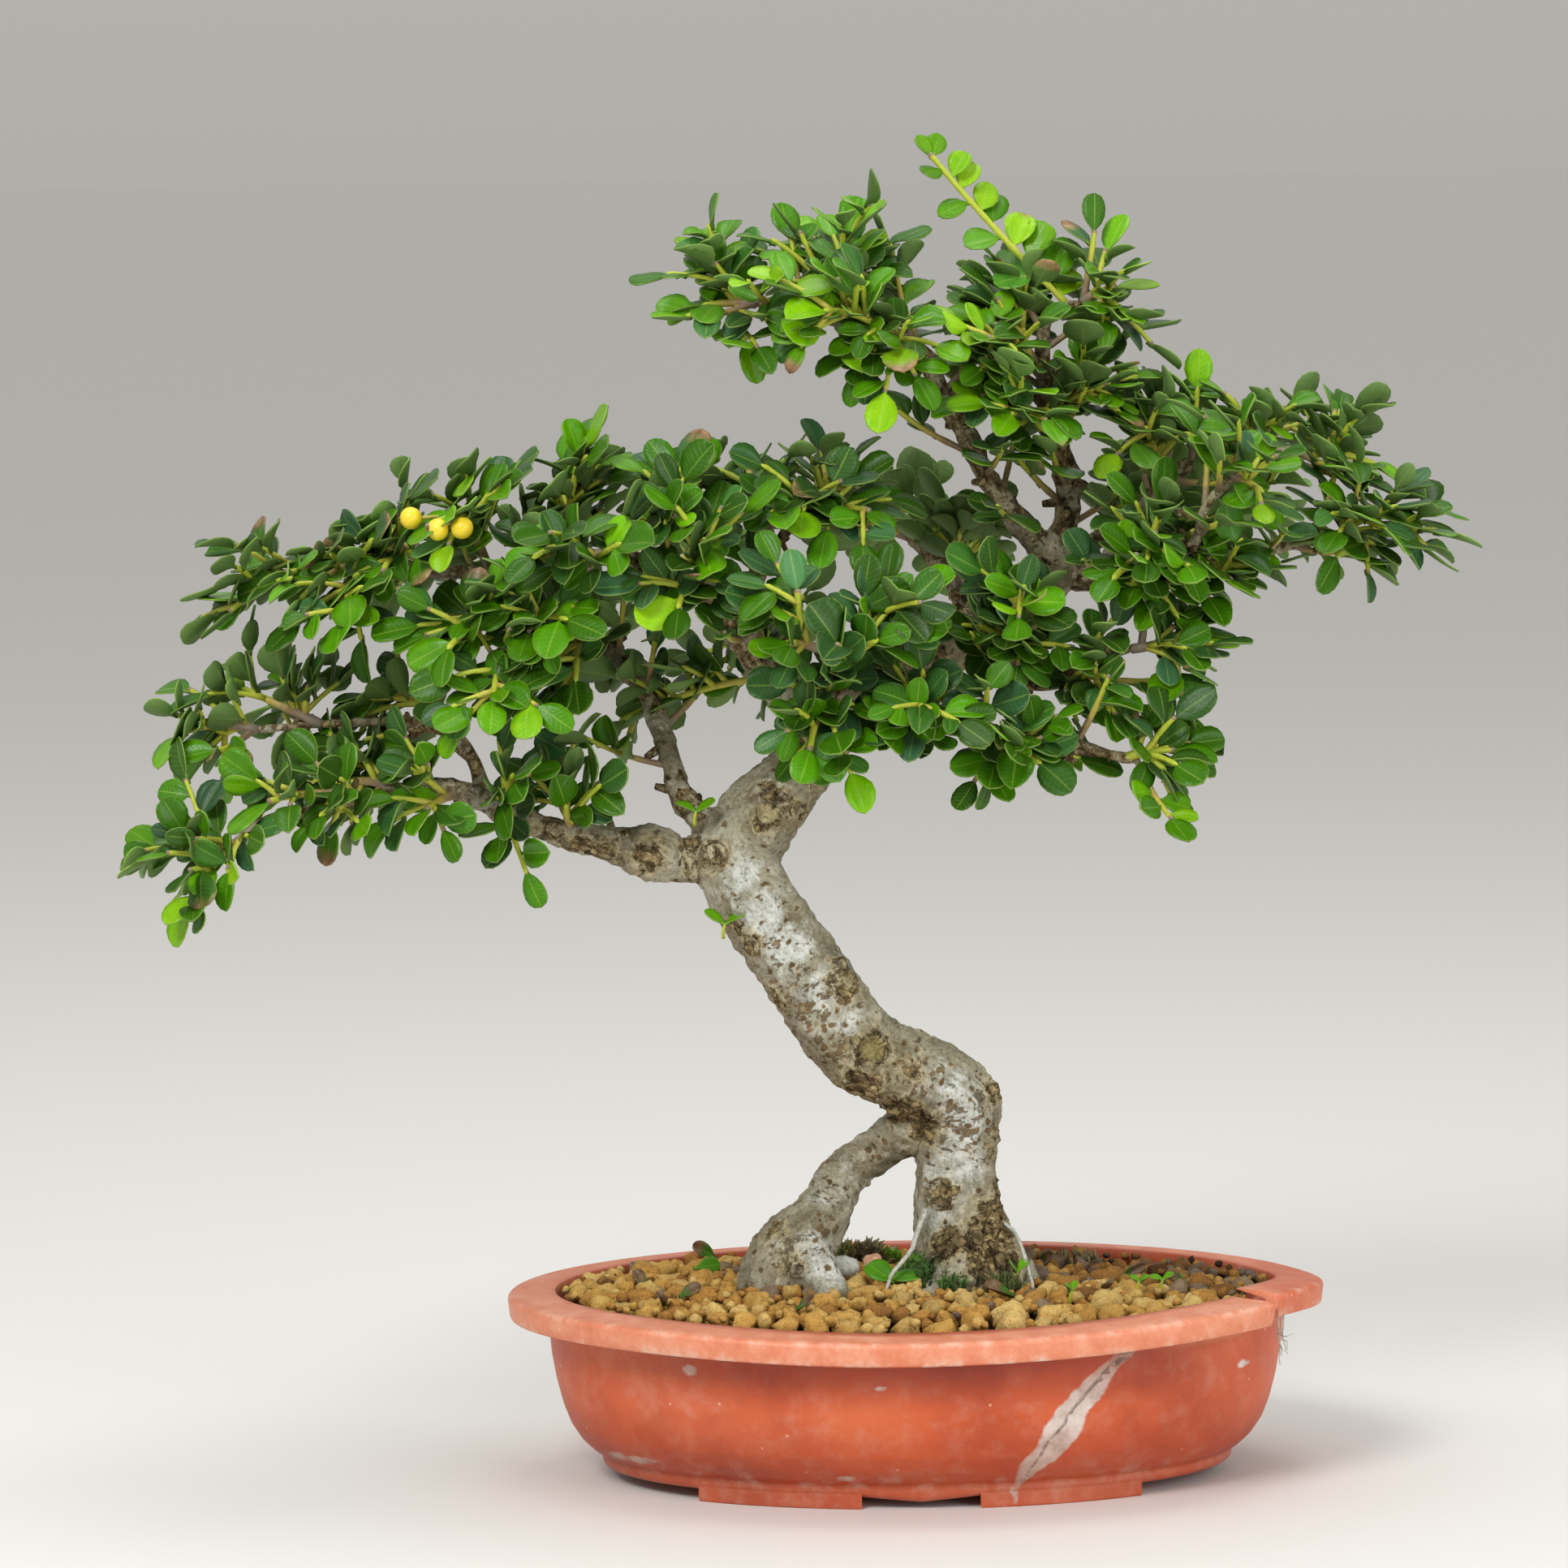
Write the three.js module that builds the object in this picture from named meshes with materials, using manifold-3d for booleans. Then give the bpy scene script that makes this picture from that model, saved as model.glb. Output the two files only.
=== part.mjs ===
// A wall cotoneaster bonsai with an arched second root leg, in an oval plastic training pot.
// Millimetres, +Z up, the tree's front faces -Y. Places are measured from the middle of the pot's
// floor, and the finished group is moved so that its origin is on the ground under its box's middle.
import * as THREE from 'three';
import { mergeVertices } from 'three/addons/utils/BufferGeometryUtils.js';
import Module from 'manifold-3d';

const wasm = await Module();
wasm.setup();

const clearance = 0.3; // left between neighbouring pieces

const pot = {
  halfWidth: 112.5, // outer edge of the rim
  halfDepth: 80,
  steps: 30, // straight steps round the oval
  // [inset from the rim's outer edge, height], from the underside's middle out, up and back inside
  outside: [
    [29.4, -1], [29, -3.4], [26.9, -3.4], [25.5, -2], [25.8, 0], [23.1, 1.5], [19.8, 4.6],
    [17, 8.8], [14.9, 14.3], [13.2, 21], [11.9, 28.5], [11.2, 37], [10.9, 42.6], [2.6, 42.2],
    [2.6, 38.2], [0.6, 38.2], [0, 43.8], [1.2, 44.7], [13.3, 45.5],
  ],
  inside: [[13.9, 37], [15.4, 25], [18.2, 14.3], [22.8, 6], [28.8, 2.2]],
  lipTop: -1.5,
  lipDip: 1.4, // the lip's lower edge hangs lower between the feet
  lipDipHalfWidth: 16,
  ground: -6.6, // the height of the feet's undersides
  footFrom: 16, // each foot runs from here
  footTo: 60, // to here along X
  footInset: 25.9,
  footDepth: 12,
  footTop: 0,
  holeX: 42, // drainage holes
  holeRadius: 7,
  holeDepth: 8,
  breakX: 97, // where the rim is broken through, at the right front
  breakWidth: 1.2,
  breakDepth: 15,
  breakBottom: 35,
  lift: 3.6, // the loose end of the rim stands higher at the break
  liftEnd: 0.35, // and comes down to this angle, in radians from +X
  rise: 1.5, // the rim before the break rises a little too
  riseStart: -1.28,
  sag: 1.6, // and the front of the rim sags
  sagMiddle: -1.65,
  sagWidth: 0.5,
  firmHeight: 30, // below this the wall keeps its shape
  looseHeight: 38,
};

const bed = {
  height: 42.4, // granules at the rim
  mound: { rise: 4, x: -10, y: -6, halfWidth: 66, halfDepth: 42 }, // round the trunk
  hollow: { rise: -1.5, x: 60, y: 30, halfWidth: 25, halfDepth: 25 }, // at the right back
  grain: 9, // spacing of the relief's points
  relief: 1.9,
  rings: 7,
};

// Each limb is a line of [x, y, z, radius].
const limbs = {
  trunk: [
    [16, 0, 32, 19], [16, 0, 43, 17], [14, 0, 55, 14.3], [12, 0, 66, 12.2], [12, 0, 78, 10.8],
    [13, -1, 88, 10.5], [13, -2, 96, 10.5], [6, -3, 102, 10.5], [-3, -4, 106, 11.2],
    [-13, -4, 111, 11.8], [-20, -5, 119, 11.7], [-30, -5, 134, 11.3], [-37, -4, 144, 11],
    [-44, -3, 155, 11.1], [-47, 0, 165, 11.3], [-41, 4, 176, 10.9], [-35, 7, 182, 9.6],
    [-28, 12, 190, 8.7], [-21, 16, 199, 8], [-10, 19, 209, 7.6], [5, 21, 216, 7.4], [20, 22, 224, 7.2],
    [33, 22, 232, 6.7], [40, 22, 241, 6],
  ],
  rootLeg: [
    [3, 3, 90, 8], [-4, 5, 86, 7], [-11, 6, 81, 6.2], [-17, 5, 77, 6.4], [-22, 3, 71, 6.8],
    [-26, 0, 64, 7.8], [-31, -4, 59, 9.4], [-35, -5, 54, 10.8], [-38, -7, 47, 10.6],
    [-40, -8, 38, 10],
  ],
  rootFront: [[12, -8, 52, 8.1], [9, -16, 47, 6.5], [7, -22, 41, 5]],
  rootRight: [[20, 0, 50, 9], [27, -2, 46, 6.7], [35, -4, 39, 4.5]],
  rootBack: [[15, 8, 49, 9], [17, 26, 44, 5.8], [18, 40, 37, 4]],
  rootLegFront: [[-32, -8, 56, 7.6], [-27, -16, 51, 5.4], [-23, -22, 46, 4]],
  lowLeft: [
    [-46, 0, 165, 7.6], [-63, -1, 164, 5.6], [-71, -3, 166, 7.4], [-79, -4, 168, 4.9],
    [-94, -6, 172, 4], [-105, -8, 176, 3.8], [-116, -10, 182, 3.6], [-127, -12, 186, 2.7],
    [-139, -14, 185, 2.2], [-153, -16, 183, 1.8], [-166, -18, 180, 1.6], [-177, -20, 178, 1.3],
  ],
  lowLeftUp: [
    [-116, -10, 182, 2.7], [-119, -4, 192, 2], [-125, 2, 199, 1.8], [-136, 8, 202, 1.6],
    [-152, 12, 202, 1.3], [-168, 14, 201, 1.1], [-181, 15, 200, 0.9],
  ],
  thinUp: [
    [-50, 2, 168, 4.5], [-62, 8, 180, 3.4], [-65, 10, 189, 2.9], [-68, 13, 199, 2.8],
    [-72, 16, 209, 2.7], [-80, 19, 217, 2.5], [-90, 22, 225, 2.2], [-104, 24, 233, 2],
    [-118, 24, 240, 1.8], [-134, 22, 245, 1.6], [-149, 20, 246, 1.3], [-164, 18, 246, 1.1],
  ],
  middle: [
    [-26, 14, 196, 4.9], [-35, 4, 210, 4.5], [-45, -6, 225, 4.3], [-54, -12, 237, 3.8],
    [-64, -16, 244, 2.9], [-74, -18, 248, 2.2], [-85, -20, 250, 1.8],
  ],
  middleUp: [
    [-45, -6, 225, 3.4], [-43, 0, 237, 2.7], [-37, 6, 248, 2.2], [-29, 10, 257, 1.8],
    [-19, 12, 261, 1.3],
  ],
  front: [[-15, 18, 205, 4], [-18, -10, 211, 3.1], [-20, -30, 217, 2.2], [-24, -42, 225, 1.6]],
  lowRight: [
    [-10, 19, 209, 4.9], [0, 4, 205, 4], [13, -10, 201, 3.1], [28, -20, 198, 2.5],
    [44, -24, 196, 2], [61, -26, 192, 1.6],
  ],
  midRight: [
    [20, 22, 224, 4.5], [27, 6, 215, 3.1], [38, -6, 212, 2.2], [50, -12, 219, 1.8],
    [63, -14, 222, 1.3],
  ],
  right: [
    [40, 22, 241, 5.4], [52, 18, 239, 4], [70, 14, 241, 2.9], [89, 10, 244, 2.2],
    [105, 8, 248, 1.8], [121, 6, 251, 1.3],
  ],
  rightUp: [
    [52, 18, 239, 3.1], [62, 20, 253, 2.5], [73, 22, 266, 2], [86, 22, 272, 1.8],
    [102, 20, 273, 1.3], [117, 18, 272, 1.1],
  ],
  rightFront: [
    [52, 18, 239, 2.7], [67, -6, 245, 2], [77, -18, 250, 1.6], [80, -24, 260, 1.3],
    [88, -26, 269, 1.1],
  ],
  apex: [
    [40, 22, 241, 4.9], [44, 20, 253, 4], [45, 18, 264, 3.4], [42, 16, 278, 2.7],
    [39, 14, 291, 2.5], [38, 12, 302, 2], [40, 10, 312, 1.6], [49, 8, 315, 1.3],
  ],
  apexLeft: [
    [41, 20, 244, 4.5], [31, 16, 255, 3.6], [22, 12, 268, 3.1], [17, 8, 279, 2.9],
    [10, 4, 290, 2.7], [6, 2, 300, 2.5], [-3, 2, 307, 2], [-14, 0, 310, 1.8],
    [-27, 0, 313, 1.6], [-41, 0, 316, 1.1],
  ],
  back: [[20, 22, 224, 4.5], [17, 50, 231, 3.1], [11, 74, 239, 2.2], [2, 92, 247, 1.6]],
  backRight: [[40, 24, 241, 3.6], [52, 50, 246, 2.7], [66, 70, 252, 2], [81, 84, 256, 1.3]],
  backLeft: [[-22, 16, 201, 4], [-31, 44, 214, 2.9], [-44, 66, 226, 2.2], [-60, 80, 237, 1.6]],
};
const thickLimbs = ['trunk', 'rootLeg'];

// Pruning scars and burrs that stand out of the trunk, as short stubs.
const knots = [
  [[-9, -8, 112, 5.2], [-11, -18.4, 113.5, 4.2]],
  [[2, -3, 100, 5], [-8, -12, 94.5, 3.6]],
  [[-22, -8, 131, 5.2], [-19, -18, 132, 3.8]],
  [[-40, -6, 142, 3.6], [-44, -14, 142, 2.3]],
  [[-24, -4, 152, 3], [-25, -5, 153, 2]],
];

// Each spray grows from a limb, at a place counted in that limb's points, towards its shoot tips.
// The first tip ends its main twig, and the others fork from that twig.
const sprays = {
  lowLeftEnd: ['lowLeft', 10.9, [-202, -24, 150], [-189, -32, 158], [-217, -12, 167]],
  lowLeftMiddle: ['lowLeft', 8.6, [-182, -34, 185], [-160, -25, 170]],
  lowLeftBack: ['lowLeft', 7.8, [-168, 16, 184], [-150, 34, 190]],
  lowLeftFront: ['lowLeft', 6.6, [-136, -34, 180], [-142, -30, 198]],
  lowLeftHanging: ['lowLeft', 5.4, [-114, -27, 170], [-106, -32, 198]],
  lowLeftInner: ['lowLeft', 3.9, [-95, -21, 188], [-100, 20, 190]],
  lowUpEnd: ['lowLeftUp', 5.9, [-208, 0, 201], [-199, 14, 192]],
  lowUpTop: ['lowLeftUp', 4.6, [-192, 22, 215], [-164, 12, 219], [-178, 38, 204]],
  lowUpInner: ['lowLeftUp', 2.4, [-128, 4, 217], [-149, 30, 211]],
  upperLeftEnd: ['thinUp', 10.8, [-195, 11, 229], [-180, 20, 248]],
  upperLeftFront: ['thinUp', 9.7, [-172, -10, 235], [-156, -24, 228]],
  upperLeftTop: ['thinUp', 8.9, [-150, 2, 259], [-145, -20, 245]],
  upperLeftBack: ['thinUp', 8.4, [-162, 42, 237], [-131, 52, 242]],
  berryTwig: ['thinUp', 7.6, [-122, -20, 267], [-123, 14, 275]],
  upperLeftLow: ['thinUp', 6.5, [-129, -36, 225], [-114, -43, 208]],
  upperLeftCrown: ['thinUp', 6.2, [-94, 14, 275], [-87, 2, 286], [-114, 34, 263]],
  upperLeftInner: ['thinUp', 5.3, [-105, -36, 236], [-92, -22, 212]],
  upperLeftRear: ['thinUp', 4.7, [-100, 54, 220], [-108, 56, 252]],
  middleTop: ['middle', 4.2, [-60, -4, 281], [-70, -30, 268]],
  middleEnd: ['middle', 5.8, [-88, -43, 244], [-101, -26, 258]],
  middleFront: ['middle', 3.1, [-55, -42, 260], [-65, -47, 234]],
  middleLow: ['middle', 1.2, [-52, 26, 210], [-88, 28, 198]],
  centreTop: ['middleUp', 2.1, [-46, 16, 279], [-49, 62, 255], [-76, 50, 264]],
  centreRight: ['middleUp', 3.6, [-20, 4, 277], [-6, 24, 268], [-26, 58, 252]],
  centreFront: ['middleUp', 3.2, [-5, -22, 261], [-30, -28, 262]],
  frontEnd: ['front', 2.9, [-43, -52, 229], [-32, -50, 250]],
  frontLow: ['front', 1.3, [-30, -54, 194], [-32, -44, 209], [-14, -42, 183]],
  frontRight: ['front', 2, [-4, -50, 232], [6, -40, 246]],
  backLeftEnd: ['backLeft', 2.95, [-78, 84, 240], [-54, 88, 256]],
  backLeftLow: ['backLeft', 1.7, [-55, 74, 205], [-20, 70, 222]],
  lowRightInner: ['lowRight', 1.8, [-7, -46, 202], [1, -55, 211]],
  lowRightUnder: ['lowRight', 2.9, [20, -42, 191], [41, -40, 190]],
  lowRightEnd: ['lowRight', 4.8, [80, -31, 197], [73, -36, 188]],
  midRightFront: ['midRight', 1.2, [31, -38, 246], [33, -30, 225], [14, 8, 211]],
  midRightLow: ['midRight', 2.2, [52, -14, 205], [57, -34, 217]],
  midRightEnd: ['midRight', 3.8, [90, -17, 224], [84, -22, 213]],
  rightEnd: ['right', 4.8, [155, 2, 252], [123, -14, 262], [110, -4, 240]],
  rightMiddle: ['right', 2.4, [90, -26, 240], [62, -24, 232]],
  rightUpEnd: ['rightUp', 4.7, [139, 18, 268], [122, 42, 276]],
  rightUpTop: ['rightUp', 3.4, [118, 22, 285], [96, 12, 287]],
  rightUpInner: ['rightUp', 1.8, [80, 26, 293], [63, -6, 286]],
  rightFrontEnd: ['rightFront', 3.95, [100, -35, 262], [84, -22, 281]],
  rightFrontInner: ['rightFront', 1.2, [49, -34, 240], [66, -38, 258]],
  backRightEnd: ['backRight', 2.7, [108, 84, 258], [84, 96, 268], [111, 56, 258]],
  backRightInner: ['backRight', 1.3, [60, 62, 272], [84, 56, 262], [98, 40, 243]],
  backInner: ['back', 1.2, [15, 42, 262], [25, 68, 254]],
  backEnd: ['back', 2.95, [-18, 98, 250], [22, 102, 247], [2, 90, 268]],
  leader: ['apex', 6.6, [1, 2, 363]],
  apexRight: ['apex', 6.98, [65, 6, 323], [63, -2, 312]],
  apexMiddle: ['apex', 4.3, [18, -22, 310], [29, 26, 332], [29, 44, 318]],
  apexLow: ['apex', 3.1, [25, -26, 288], [62, -4, 298], [51, 22, 288]],
  topLeftEnd: ['apexLeft', 8.95, [-64, -4, 316], [-59, 8, 335], [-42, -6, 298]],
  topLeftUpright: ['apexLeft', 7.2, [-15, 8, 344], [-38, 26, 332], [-6, 40, 320]],
  topLeftFront: ['apexLeft', 5.8, [-3, -31, 304], [-24, -16, 301], [-29, -26, 318]],
};
const berries = {
  radius: 3.1,
  centres: [[-127, -19, 256.6], [-120.4, -20, 257], [-134.5, -14, 259.5]],
  spray: 'berryTwig', // their stalks leave its main twig
  stalkFrom: 0.8,
  stalkRadius: 0.6,
};

const twig = { baseRadius: 1.6, forkRadius: 0.75, tipRadius: 0.85, forkRoom: 2, lift: 0.1, leafReach: 11 };
const shoot = { spacing: 8.5, shortest: 9, longest: 19, stalkWidth: 1.3 };
const leaf = { spacing: 5.6, shortest: 10.5, longest: 15.5, thickness: 0.7 };
const kept = { shoots: 3, leaves: 4 }; // one in so many side shoots and leaves along a twig is built
const crownMiddle = [-20, 8, 215]; // leaves turn their faces up and away from here

const colours = {
  pot: 0xc8653f,
  soil: 0xb98d4f,
  bark: 0x9c9884,
  leaf: 0x437a1d,
  berry: 0xe3d566,
};

// Vectors as plain arrays

const plus = (a, b, s = 1) => [a[0] + b[0] * s, a[1] + b[1] * s, a[2] + b[2] * s];
const dot = (a, b) => a[0] * b[0] + a[1] * b[1] + a[2] * b[2];
const cross = (a, b) => [
  a[1] * b[2] - a[2] * b[1],
  a[2] * b[0] - a[0] * b[2],
  a[0] * b[1] - a[1] * b[0],
];
const unit = (a) => {
  const length = Math.hypot(...a);
  return a.map((c) => c / length);
};
const between = (a, b, t) => a.map((c, i) => c + (b[i] - c) * t);

// A small seeded generator, so that the same tree grows every time
function randomFrom(seed) {
  let state = seed;
  return () => {
    state = (state * 48271) % 2147483647;
    return state / 2147483647;
  };
}

// Closed meshes

function solid(positions, triangles) {
  return new wasm.Manifold(
    new wasm.Mesh({
      numProp: 3,
      vertProperties: new Float32Array(positions.flat()),
      triVerts: new Uint32Array(triangles.flat()),
    }),
  );
}

function solidOf(geometry) {
  geometry.deleteAttribute('normal');
  geometry.deleteAttribute('uv');
  const merged = mergeVertices(geometry);
  const mesh = new wasm.Mesh({
    numProp: 3,
    vertProperties: merged.attributes.position.array,
    triVerts: Uint32Array.from(merged.index.array),
  });
  return new wasm.Manifold(mesh);
}

// A skin over rings of equal count, closed at both ends by a fan
function skin(rings, startMiddle, endMiddle) {
  const count = rings[0].length;
  const positions = [...rings.flat(), startMiddle, endMiddle];
  const start = rings.length * count;
  const end = start + 1;
  const triangles = [];
  for (let i = 0; i < count; i += 1) {
    const next = (i + 1) % count;
    triangles.push([start, next, i]);
    for (let r = 0; r + 1 < rings.length; r += 1) {
      const low = r * count;
      const high = low + count;
      triangles.push([low + i, low + next, high + next]);
      triangles.push([low + i, high + next, high + i]);
    }
    const last = (rings.length - 1) * count;
    triangles.push([last + i, last + next, end]);
  }
  return solid(positions, triangles);
}

// A skin over rings whose ends are closed by the fewest triangles
function plainSkin(rings) {
  const count = rings[0].length;
  const triangles = [];
  for (let i = 0; i < count; i += 1) {
    const next = (i + 1) % count;
    for (let r = 0; r + 1 < rings.length; r += 1) {
      const low = r * count;
      const high = low + count;
      triangles.push([low + i, low + next, high + next]);
      triangles.push([low + i, high + next, high + i]);
    }
  }
  const last = (rings.length - 1) * count;
  for (let i = 1; i + 1 < count; i += 1) {
    triangles.push([0, i + 1, i], [last, last + i, last + i + 1]);
  }
  return solid(rings.flat(), triangles);
}

// A bent round bar along points [x, y, z, radius], made thicker all over by grow
function bar(points, sides, grow = 0) {
  const middles = points.map((p) => p.slice(0, 3));
  const along = middles.map((p, i) => {
    const before = middles[Math.max(i - 1, 0)];
    const after = middles[Math.min(i + 1, middles.length - 1)];
    return unit(plus(after, before, -1));
  });
  middles[0] = plus(middles[0], along[0], -grow);
  const last = middles.length - 1;
  middles[last] = plus(middles[last], along[last], grow);
  let side = unit(cross(along[0], Math.abs(along[0][2]) < 0.9 ? [0, 0, 1] : [0, 1, 0]));
  const rings = middles.map((middle, i) => {
    side = unit(plus(side, along[i], -dot(side, along[i])));
    const up = cross(along[i], side);
    const radius = points[i][3] + grow;
    return Array.from({ length: sides }, (_, k) => {
      const angle = (2 * Math.PI * (k + 0.5)) / sides;
      return plus(plus(middle, side, radius * Math.cos(angle)), up, radius * Math.sin(angle));
    });
  });
  return plainSkin(rings);
}

// Pot

const breakAngle = -Math.acos(pot.breakX / pot.halfWidth);

// The broken rim: the loose end past the break is lifted and the front sags
function rimShift(angle, height) {
  const share = THREE.MathUtils.smoothstep(height, pot.firmHeight, pot.looseHeight);
  const turn = Math.atan2(Math.sin(angle), Math.cos(angle));
  if (turn > breakAngle) {
    return share * pot.lift * (1 - THREE.MathUtils.smoothstep(turn, breakAngle, pot.liftEnd));
  }
  const rise = pot.rise * THREE.MathUtils.smoothstep(turn, pot.riseStart, breakAngle);
  const sag = pot.sag * Math.exp(-(((turn - pot.sagMiddle) / pot.sagWidth) ** 2));
  return share * (rise - sag);
}

function potRing([inset, height], angles) {
  return angles.map((angle) => {
    const x = (pot.halfWidth - inset) * Math.cos(angle);
    const y = (pot.halfDepth - inset) * Math.sin(angle);
    const isLip = height < pot.lipTop;
    const dip = isLip ? pot.lipDip * Math.max(0, 1 - Math.abs(x) / pot.lipDipHalfWidth) : 0;
    return [x, y, height - dip + rimShift(angle, height)];
  });
}

function footSolid(sideX, sideY) {
  const outer = [];
  const inner = [];
  const steps = 5;
  const halfWidth = pot.halfWidth - pot.footInset;
  const halfDepth = pot.halfDepth - pot.footInset;
  for (let i = 0; i <= steps; i += 1) {
    const x = pot.footFrom + ((pot.footTo - pot.footFrom) * i) / steps;
    const y = halfDepth * Math.sqrt(1 - (x / halfWidth) ** 2);
    outer.push(new THREE.Vector2(x, y));
    inner.push(new THREE.Vector2(x, y - pot.footDepth));
  }
  const shape = new THREE.Shape([...outer, ...inner.reverse()]);
  const depth = pot.footTop - pot.ground;
  const geometry = new THREE.ExtrudeGeometry(shape, { depth, bevelEnabled: false });
  geometry.translate(0, 0, pot.ground);
  return solidOf(geometry).scale([sideX, sideY, 1]);
}

function makePot() {
  const angles = Array.from({ length: pot.steps }, (_, i) => (2 * Math.PI * i) / pot.steps - Math.PI);
  const halfBreak = pot.breakWidth / 2 / pot.halfDepth;
  const withBreak = [...angles, breakAngle - halfBreak, breakAngle + halfBreak].sort((a, b) => a - b);
  const profile = [...pot.outside, ...pot.inside];
  const rings = profile.map((point) => potRing(point, withBreak));
  const underside = pot.outside[0][1];
  const floor = pot.inside.at(-1)[1];
  let body = skin(rings, [0, 0, underside], [0, 0, floor]);
  for (const sideX of [-1, 1]) {
    for (const sideY of [-1, 1]) {
      body = body.add(footSolid(sideX, sideY));
    }
    const hole = new THREE.CylinderGeometry(pot.holeRadius, pot.holeRadius, pot.holeDepth, 16);
    hole.rotateX(Math.PI / 2);
    hole.translate(sideX * pot.holeX, 0, (underside + floor) / 2);
    body = body.subtract(solidOf(hole));
  }
  const across = [Math.cos(breakAngle) / pot.halfWidth, Math.sin(breakAngle) / pot.halfDepth];
  const slitHeight = 20;
  const slit = new THREE.BoxGeometry(2 * pot.breakDepth, pot.breakWidth, slitHeight);
  slit.rotateZ(Math.atan2(across[1], across[0]));
  slit.translate(
    pot.halfWidth * Math.cos(breakAngle),
    pot.halfDepth * Math.sin(breakAngle),
    pot.breakBottom + slitHeight / 2,
  );
  return body.subtract(solidOf(slit));
}

// Soil

function bedHeight(x, y) {
  return [bed.mound, bed.hollow].reduce((height, swell) => {
    const away = ((x - swell.x) / swell.halfWidth) ** 2 + ((y - swell.y) / swell.halfDepth) ** 2;
    return height + swell.rise * Math.exp(-away);
  }, bed.height);
}

// Joins an outer and an inner ring of unequal counts, both starting at the same angle
function zip(outerStart, outerCount, innerStart, innerCount) {
  const triangles = [];
  let o = 0;
  let i = 0;
  while (o < outerCount || i < innerCount) {
    const outer = outerStart + (o % outerCount);
    const inner = innerStart + (i % innerCount);
    if (i >= innerCount || (o < outerCount && (o + 1) / outerCount <= (i + 1) / innerCount)) {
      triangles.push([outer, outerStart + ((o + 1) % outerCount), inner]);
      o += 1;
    } else {
      triangles.push([outer, innerStart + ((i + 1) % innerCount), inner]);
      i += 1;
    }
  }
  return triangles;
}

function makeSoil(trunkGrown) {
  const wallGap = 1.6 * clearance; // measured level, so that it is enough on the sloping wall
  const random = randomFrom(5);
  const positions = [];
  const starts = [];
  const counts = [];
  const addRing = (inset, scale, count, height) => {
    starts.push(positions.length);
    counts.push(count);
    const turn = (2 * Math.PI) / count;
    for (let i = 0; i < count; i += 1) {
      const x = (pot.halfWidth - inset) * scale * Math.cos(turn * i - Math.PI);
      const y = (pot.halfDepth - inset) * scale * Math.sin(turn * i - Math.PI);
      positions.push([x, y, height(x, y)]);
    }
  };
  for (const [inset, height] of pot.inside.toReversed()) {
    const raised = height === pot.inside.at(-1)[1] ? clearance : 0;
    addRing(inset + wallGap, 1, pot.steps, () => height + raised);
  }
  const topInset = pot.inside[0][0] + wallGap;
  const girth = Math.PI * (pot.halfWidth + pot.halfDepth - 2 * topInset);
  for (let r = 0; r < bed.rings; r += 1) {
    const scale = 1 - r / bed.rings;
    const count = r === 0 ? pot.steps : Math.round((girth * scale) / bed.grain);
    const relief = r === 0 ? 0 : bed.relief;
    addRing(topInset, scale, count, (x, y) => bedHeight(x, y) + relief * (random() * 2 - 0.9));
  }
  const floorMiddle = positions.length;
  positions.push([0, 0, pot.inside.at(-1)[1] + clearance], [0, 0, bedHeight(0, 0)]);
  const triangles = [];
  for (let i = 0; i < counts[0]; i += 1) {
    triangles.push([floorMiddle, (i + 1) % counts[0], i]);
  }
  for (let r = 0; r + 1 < starts.length; r += 1) {
    triangles.push(...zip(starts[r], counts[r], starts[r + 1], counts[r + 1]));
  }
  const innermost = starts.at(-1);
  for (let i = 0; i < counts.at(-1); i += 1) {
    triangles.push([floorMiddle + 1, innermost + i, innermost + ((i + 1) % counts.at(-1))]);
  }
  return solid(positions, triangles).subtract(trunkGrown);
}

// Trunk, roots and branches, grown as one piece

function makeTrunk(grow) {
  let body = null;
  for (const [name, points] of Object.entries(limbs)) {
    const sides = thickLimbs.includes(name) ? 8 : 5;
    const limb = bar(points, sides, grow);
    body = body ? body.add(limb) : limb;
  }
  for (const stub of knots) {
    body = body.add(bar(stub, 6, grow));
  }
  return body;
}

// Leafy sprays

function placeOn(limb, place) {
  const points = limbs[limb];
  const index = Math.min(Math.floor(place), points.length - 2);
  return between(points[index], points[index + 1], place - index).slice(0, 3);
}

function curvePoint([start, bend, end], t) {
  const u = 1 - t;
  return start.map((_, i) => u * u * start[i] + 2 * u * t * bend[i] + t * t * end[i]);
}

function curveWay([start, bend, end], t) {
  return unit(start.map((_, i) => (1 - t) * (bend[i] - start[i]) + t * (end[i] - bend[i])));
}

// The same place on the straight steps that a twig is built with
function stepPoint({ curve, steps }, t) {
  const step = Math.min(Math.floor(t * steps), steps - 1);
  const from = curvePoint(curve, step / steps);
  const to = curvePoint(curve, (step + 1) / steps);
  return between(from, to, t * steps - step);
}

// The way a leaf's face looks: up and out of the crown, with some chance in it
function faceWay(place, random) {
  const out = unit([
    (place[0] - crownMiddle[0]) * 0.5,
    (place[1] - crownMiddle[1]) * 1.6,
    (place[2] - crownMiddle[2]) * 0.6,
  ]);
  const chance = [random() - 0.5, random() - 0.5, random() - 0.5];
  return unit(plus(plus([0, 0, 0.62], out, 0.6), chance, 1.3));
}

function growLeaf(base, way, random, size) {
  const face = faceWay(base, random);
  const length = (leaf.shortest + (leaf.longest - leaf.shortest) * random()) * size;
  const aspect = 0.66 + 0.24 * random();
  const flat = unit(plus(face, way, -dot(face, way)));
  return { base, way, face: flat, length, width: length * aspect };
}

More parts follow.
